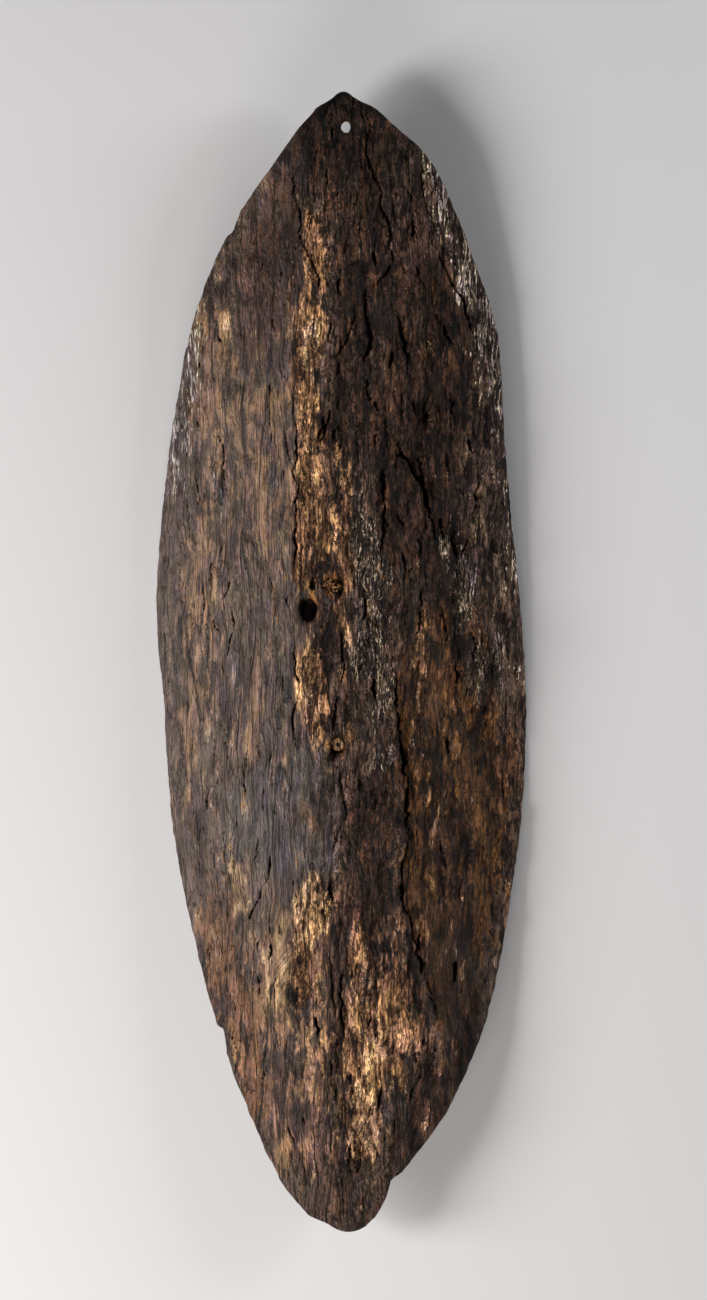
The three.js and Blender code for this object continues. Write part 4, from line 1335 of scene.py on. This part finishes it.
def grip_piece():
    """The bent stick with its brush of fibres, as one mesh in metres."""
    stick = straight_stick(STICK_SIDES, STICK_STEPS)
    caps = [face for face in stick.faces if len(face.verts) > 4]
    for share in (0.12, 0.14, 0.16, 0.18, 0.14):
        bmesh.ops.inset_region(stick, faces=caps, thickness=share, depth=0)
    points = np.array([corner.co for corner in stick.verts])
    laid, share, angle = lay_along_bow(points)
    spread = np.hypot(points[:, 0], points[:, 1])
    at_foot, at_top = share > 0.999, share < 0.001
    rings = 0.16 * np.cos(spread * 17) - 2.4 * (spread < 0.33) + 0.5 * mottle(angle * 1.6, spread * 3, 107, 2)
    broken = 2.4 * smooth(0.0, 0.8, np.cos(angle - 2.4)) * smooth(0.3, 0.8, spread)
    laid[:, 2] += np.where(at_foot, FOOT_STANDS + rings - broken - 0.6 * (spread > 0.9), 0)
    laid[:, 2] += np.where(at_top, -BRUSH_SINKS, 0)
    shrink = np.where(at_foot, 0.26 * spread * np.square(np.sin(1.5 * angle + 0.8)), 0)[:, None]
    laid[:, :2] += shrink * (np.array(GRIP_FOOT) - laid[:, :2])
    for corner, place in zip(stick.verts, laid):
        corner.co = place
    tuft(stick, np.random.default_rng(5), height=front_height(*GRIP_TOP) - 5.0, **BRUSH)
    bmesh.ops.scale(stick, verts=stick.verts[:], vec=(MM, MM, MM))
    bmesh.ops.recalc_face_normals(stick, faces=stick.faces[:])
    mesh = bpy.data.meshes.new("handle_skin")
    stick.to_mesh(mesh)
    stick.free()
    return mesh


def dress_grip(mesh):
    """Stores the way along and round the stick at every point."""
    points = points_of(mesh) / MM
    steps = np.linspace(0, 1, 400)
    line, _ = along_bow(steps)
    far = np.linalg.norm(points[:, None, :] - line[None, :, :], axis=2)
    nearest = far.argmin(axis=1)
    share = steps[nearest]
    offset = points - line[nearest]
    radius = far.min(axis=1)
    ends = np.maximum(smooth(0.06, 0.0, share), smooth(0.94, 1.0, share))
    store(mesh, "stick_way", np.column_stack([offset[:, 0], share * bow_steps[-1], offset[:, 2]]) * MM)
    store(mesh, "stick_state", np.column_stack([ends, radius / 6, share]))


handle_mesh = grip_piece()
dress_grip(handle_mesh)
handle = bpy.data.objects.new("handle_dressed", handle_mesh)
bpy.context.scene.collection.objects.link(handle)
handle_mesh.polygons.foreach_set("use_smooth", [True] * len(handle_mesh.polygons))
print("grip:", len(handle_mesh.polygons), "faces")


# %% [markdown]
# The peeled wood is dark and smooth from handling along the bow, and paler and rough where the
# fibres are torn at its two ends. The foot is darker again round its pith.

# %% The wood of the grip
PEELED = (earth(62, 40, 25), earth(132, 94, 60))
TORN = (earth(42, 27, 16), earth(228, 168, 106))
PEELED_STAIN = earth(52, 35, 25)
TORN_STAIN = earth(52, 32, 20)
FOOT_STAIN = earth(52, 34, 22)
PITH = earth(30, 19, 13)


def grip_material():
    material = bpy.data.materials.new("peeled_stick")
    material.use_nodes = True
    tree = material.node_tree
    surface = tree.nodes["Principled BSDF"]
    way = add(tree, "Attribute", out=1, attribute_name="stick_way")
    ends, spread, share = parts(tree, "stick_state")
    sizes = (1 / (1.1 * MM), 1 / (26 * MM), 1 / (1.1 * MM))
    stretched = add(tree, "VectorMath", {0: way, 1: sizes}, operation="MULTIPLY")
    fibres = add(tree, "TexNoise", {"Vector": stretched, "Scale": 1.0, "Detail": 4.0, "Roughness": 0.6})
    soft = add(tree, "VectorMath", {0: way, 1: (90.0, 25.0, 90.0)}, operation="MULTIPLY")
    soft = add(tree, "TexNoise", {"Vector": soft, "Scale": 1.0, "Detail": 3.0})
    colour = paint(tree, ramp(tree, fibres, 0.36, 0.64), *PEELED)
    colour = paint(tree, ramp(tree, soft, 0.45, 0.7, 0.0, 0.7), colour, PEELED_STAIN)
    frayed = paint(tree, ramp(tree, fibres, 0.42, 0.62), *TORN)
    frayed = paint(tree, ramp(tree, soft, 0.46, 0.58, 0.0, 0.5), frayed, TORN_STAIN)
    colour = paint(tree, ends, colour, frayed)
    foot = ramp(tree, share, 0.97, 0.99)
    colour = paint(tree, sums(tree, "MULTIPLY", foot, 0.4), colour, FOOT_STAIN)
    pith = sums(tree, "MULTIPLY", foot, ramp(tree, spread, 0.34, 0.2))
    colour = paint(tree, pith, colour, PITH)
    tree.links.new(colour, surface.inputs["Base Color"])
    tree.links.new(ramp(tree, fibres, 0.3, 0.7, 0.62, 0.42), surface.inputs["Roughness"])
    bump = add(tree, "Bump", {"Height": fibres, "Distance": 0.5 * MM, "Strength": 1.0})
    tree.links.new(bump, surface.inputs["Normal"])
    return material


handle.data.materials.append(grip_material())
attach(handle, "root")
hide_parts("handle")
print("grip dressed")

# %% [markdown]
# ## Floor, light and camera
#
# The shield lies front up on a plain pale floor and the camera looks straight down on it, from
# as far as the photographer stood, so that the curve of the sheet looks right. The main light is a
# large soft one on the left: it makes the left side shine and leaves the right side in shade.

# %% Set the floor, the lights and the camera
PHOTO_SCALE = 0.8528
PHOTO_HEIGHT = 1300
OFF_CENTRE = (11, 10)
CAMERA_AWAY = 8.0
MIDDLE_HEIGHT = 0.03
SENSOR_WIDTH = 36
FLOOR_SIZE = 4
FLOOR_GREY = (0.72, 0.72, 0.73, 1)
ROOM_LIGHT = (1.0, 0.95, 0.9, 1)
ROOM_STRENGTH = 0.045
LIGHTS = dict(
    main_light=dict(place=(-2.05, -0.4, 1.45), aim=(0, 0, 0.05), wide=0.8, high=1.4, watts=68,
                    tint=(1.0, 0.98, 0.97)),
    fill_light=dict(place=(-0.4, -1.9, 1.0), aim=(0, -0.1, 0.05), wide=1.2, high=0.8, watts=19,
                    tint=(1.0, 0.94, 0.86)),
    edge_light=dict(place=(1.9, 0.7, 0.8), aim=(0.05, 0.1, 0.05), wide=0.5, high=1.1, watts=22,
                    tint=(0.97, 0.98, 1.0)),
)


def pale_floor():
    ground = bmesh.new()
    bmesh.ops.create_grid(ground, x_segments=1, y_segments=1, size=FLOOR_SIZE)
    mesh = bpy.data.meshes.new("floor")
    ground.to_mesh(mesh)
    ground.free()
    floor = bpy.data.objects.new("floor", mesh)
    bpy.context.scene.collection.objects.link(floor)
    material = bpy.data.materials.new("pale_floor")
    material.use_nodes = True
    surface = material.node_tree.nodes["Principled BSDF"]
    surface.inputs["Base Color"].default_value = FLOOR_GREY
    surface.inputs["Roughness"].default_value = 0.85
    mesh.materials.append(material)


def soft_light(name, place, aim, wide, high, watts, tint):
    """One rectangular studio light that faces a point."""
    lamp = bpy.data.lights.new(name, "AREA")
    lamp.shape, lamp.size, lamp.size_y = "RECTANGLE", wide, high
    lamp.energy, lamp.color = watts, tint
    light = bpy.data.objects.new(name, lamp)
    light.location = place
    light.rotation_euler = (Vector(aim) - Vector(place)).to_track_quat("-Z", "Y").to_euler()
    bpy.context.scene.collection.objects.link(light)


def overhead_camera():
    """Looks straight down, so that the sheet fills the frame as it does in the photograph."""
    lens = bpy.data.cameras.new("camera")
    lens.sensor_width = SENSOR_WIDTH
    lens.lens = lens.sensor_width * (CAMERA_AWAY - MIDDLE_HEIGHT) / (PHOTO_HEIGHT * PHOTO_SCALE * MM)
    camera = bpy.data.objects.new("camera", lens)
    camera.location = (OFF_CENTRE[0] * MM, OFF_CENTRE[1] * MM, CAMERA_AWAY)
    bpy.context.scene.collection.objects.link(camera)
    bpy.context.scene.camera = camera


pale_floor()
for name, settings in LIGHTS.items():
    soft_light(name, **settings)
overhead_camera()
world = bpy.data.worlds.new("studio")
world.use_nodes = True
world.node_tree.nodes["Background"].inputs["Color"].default_value = ROOM_LIGHT
world.node_tree.nodes["Background"].inputs["Strength"].default_value = ROOM_STRENGTH
bpy.context.scene.world = world
bpy.context.scene.view_settings.view_transform = "Standard"
print("camera lens", round(bpy.context.scene.camera.data.lens, 1), "mm")
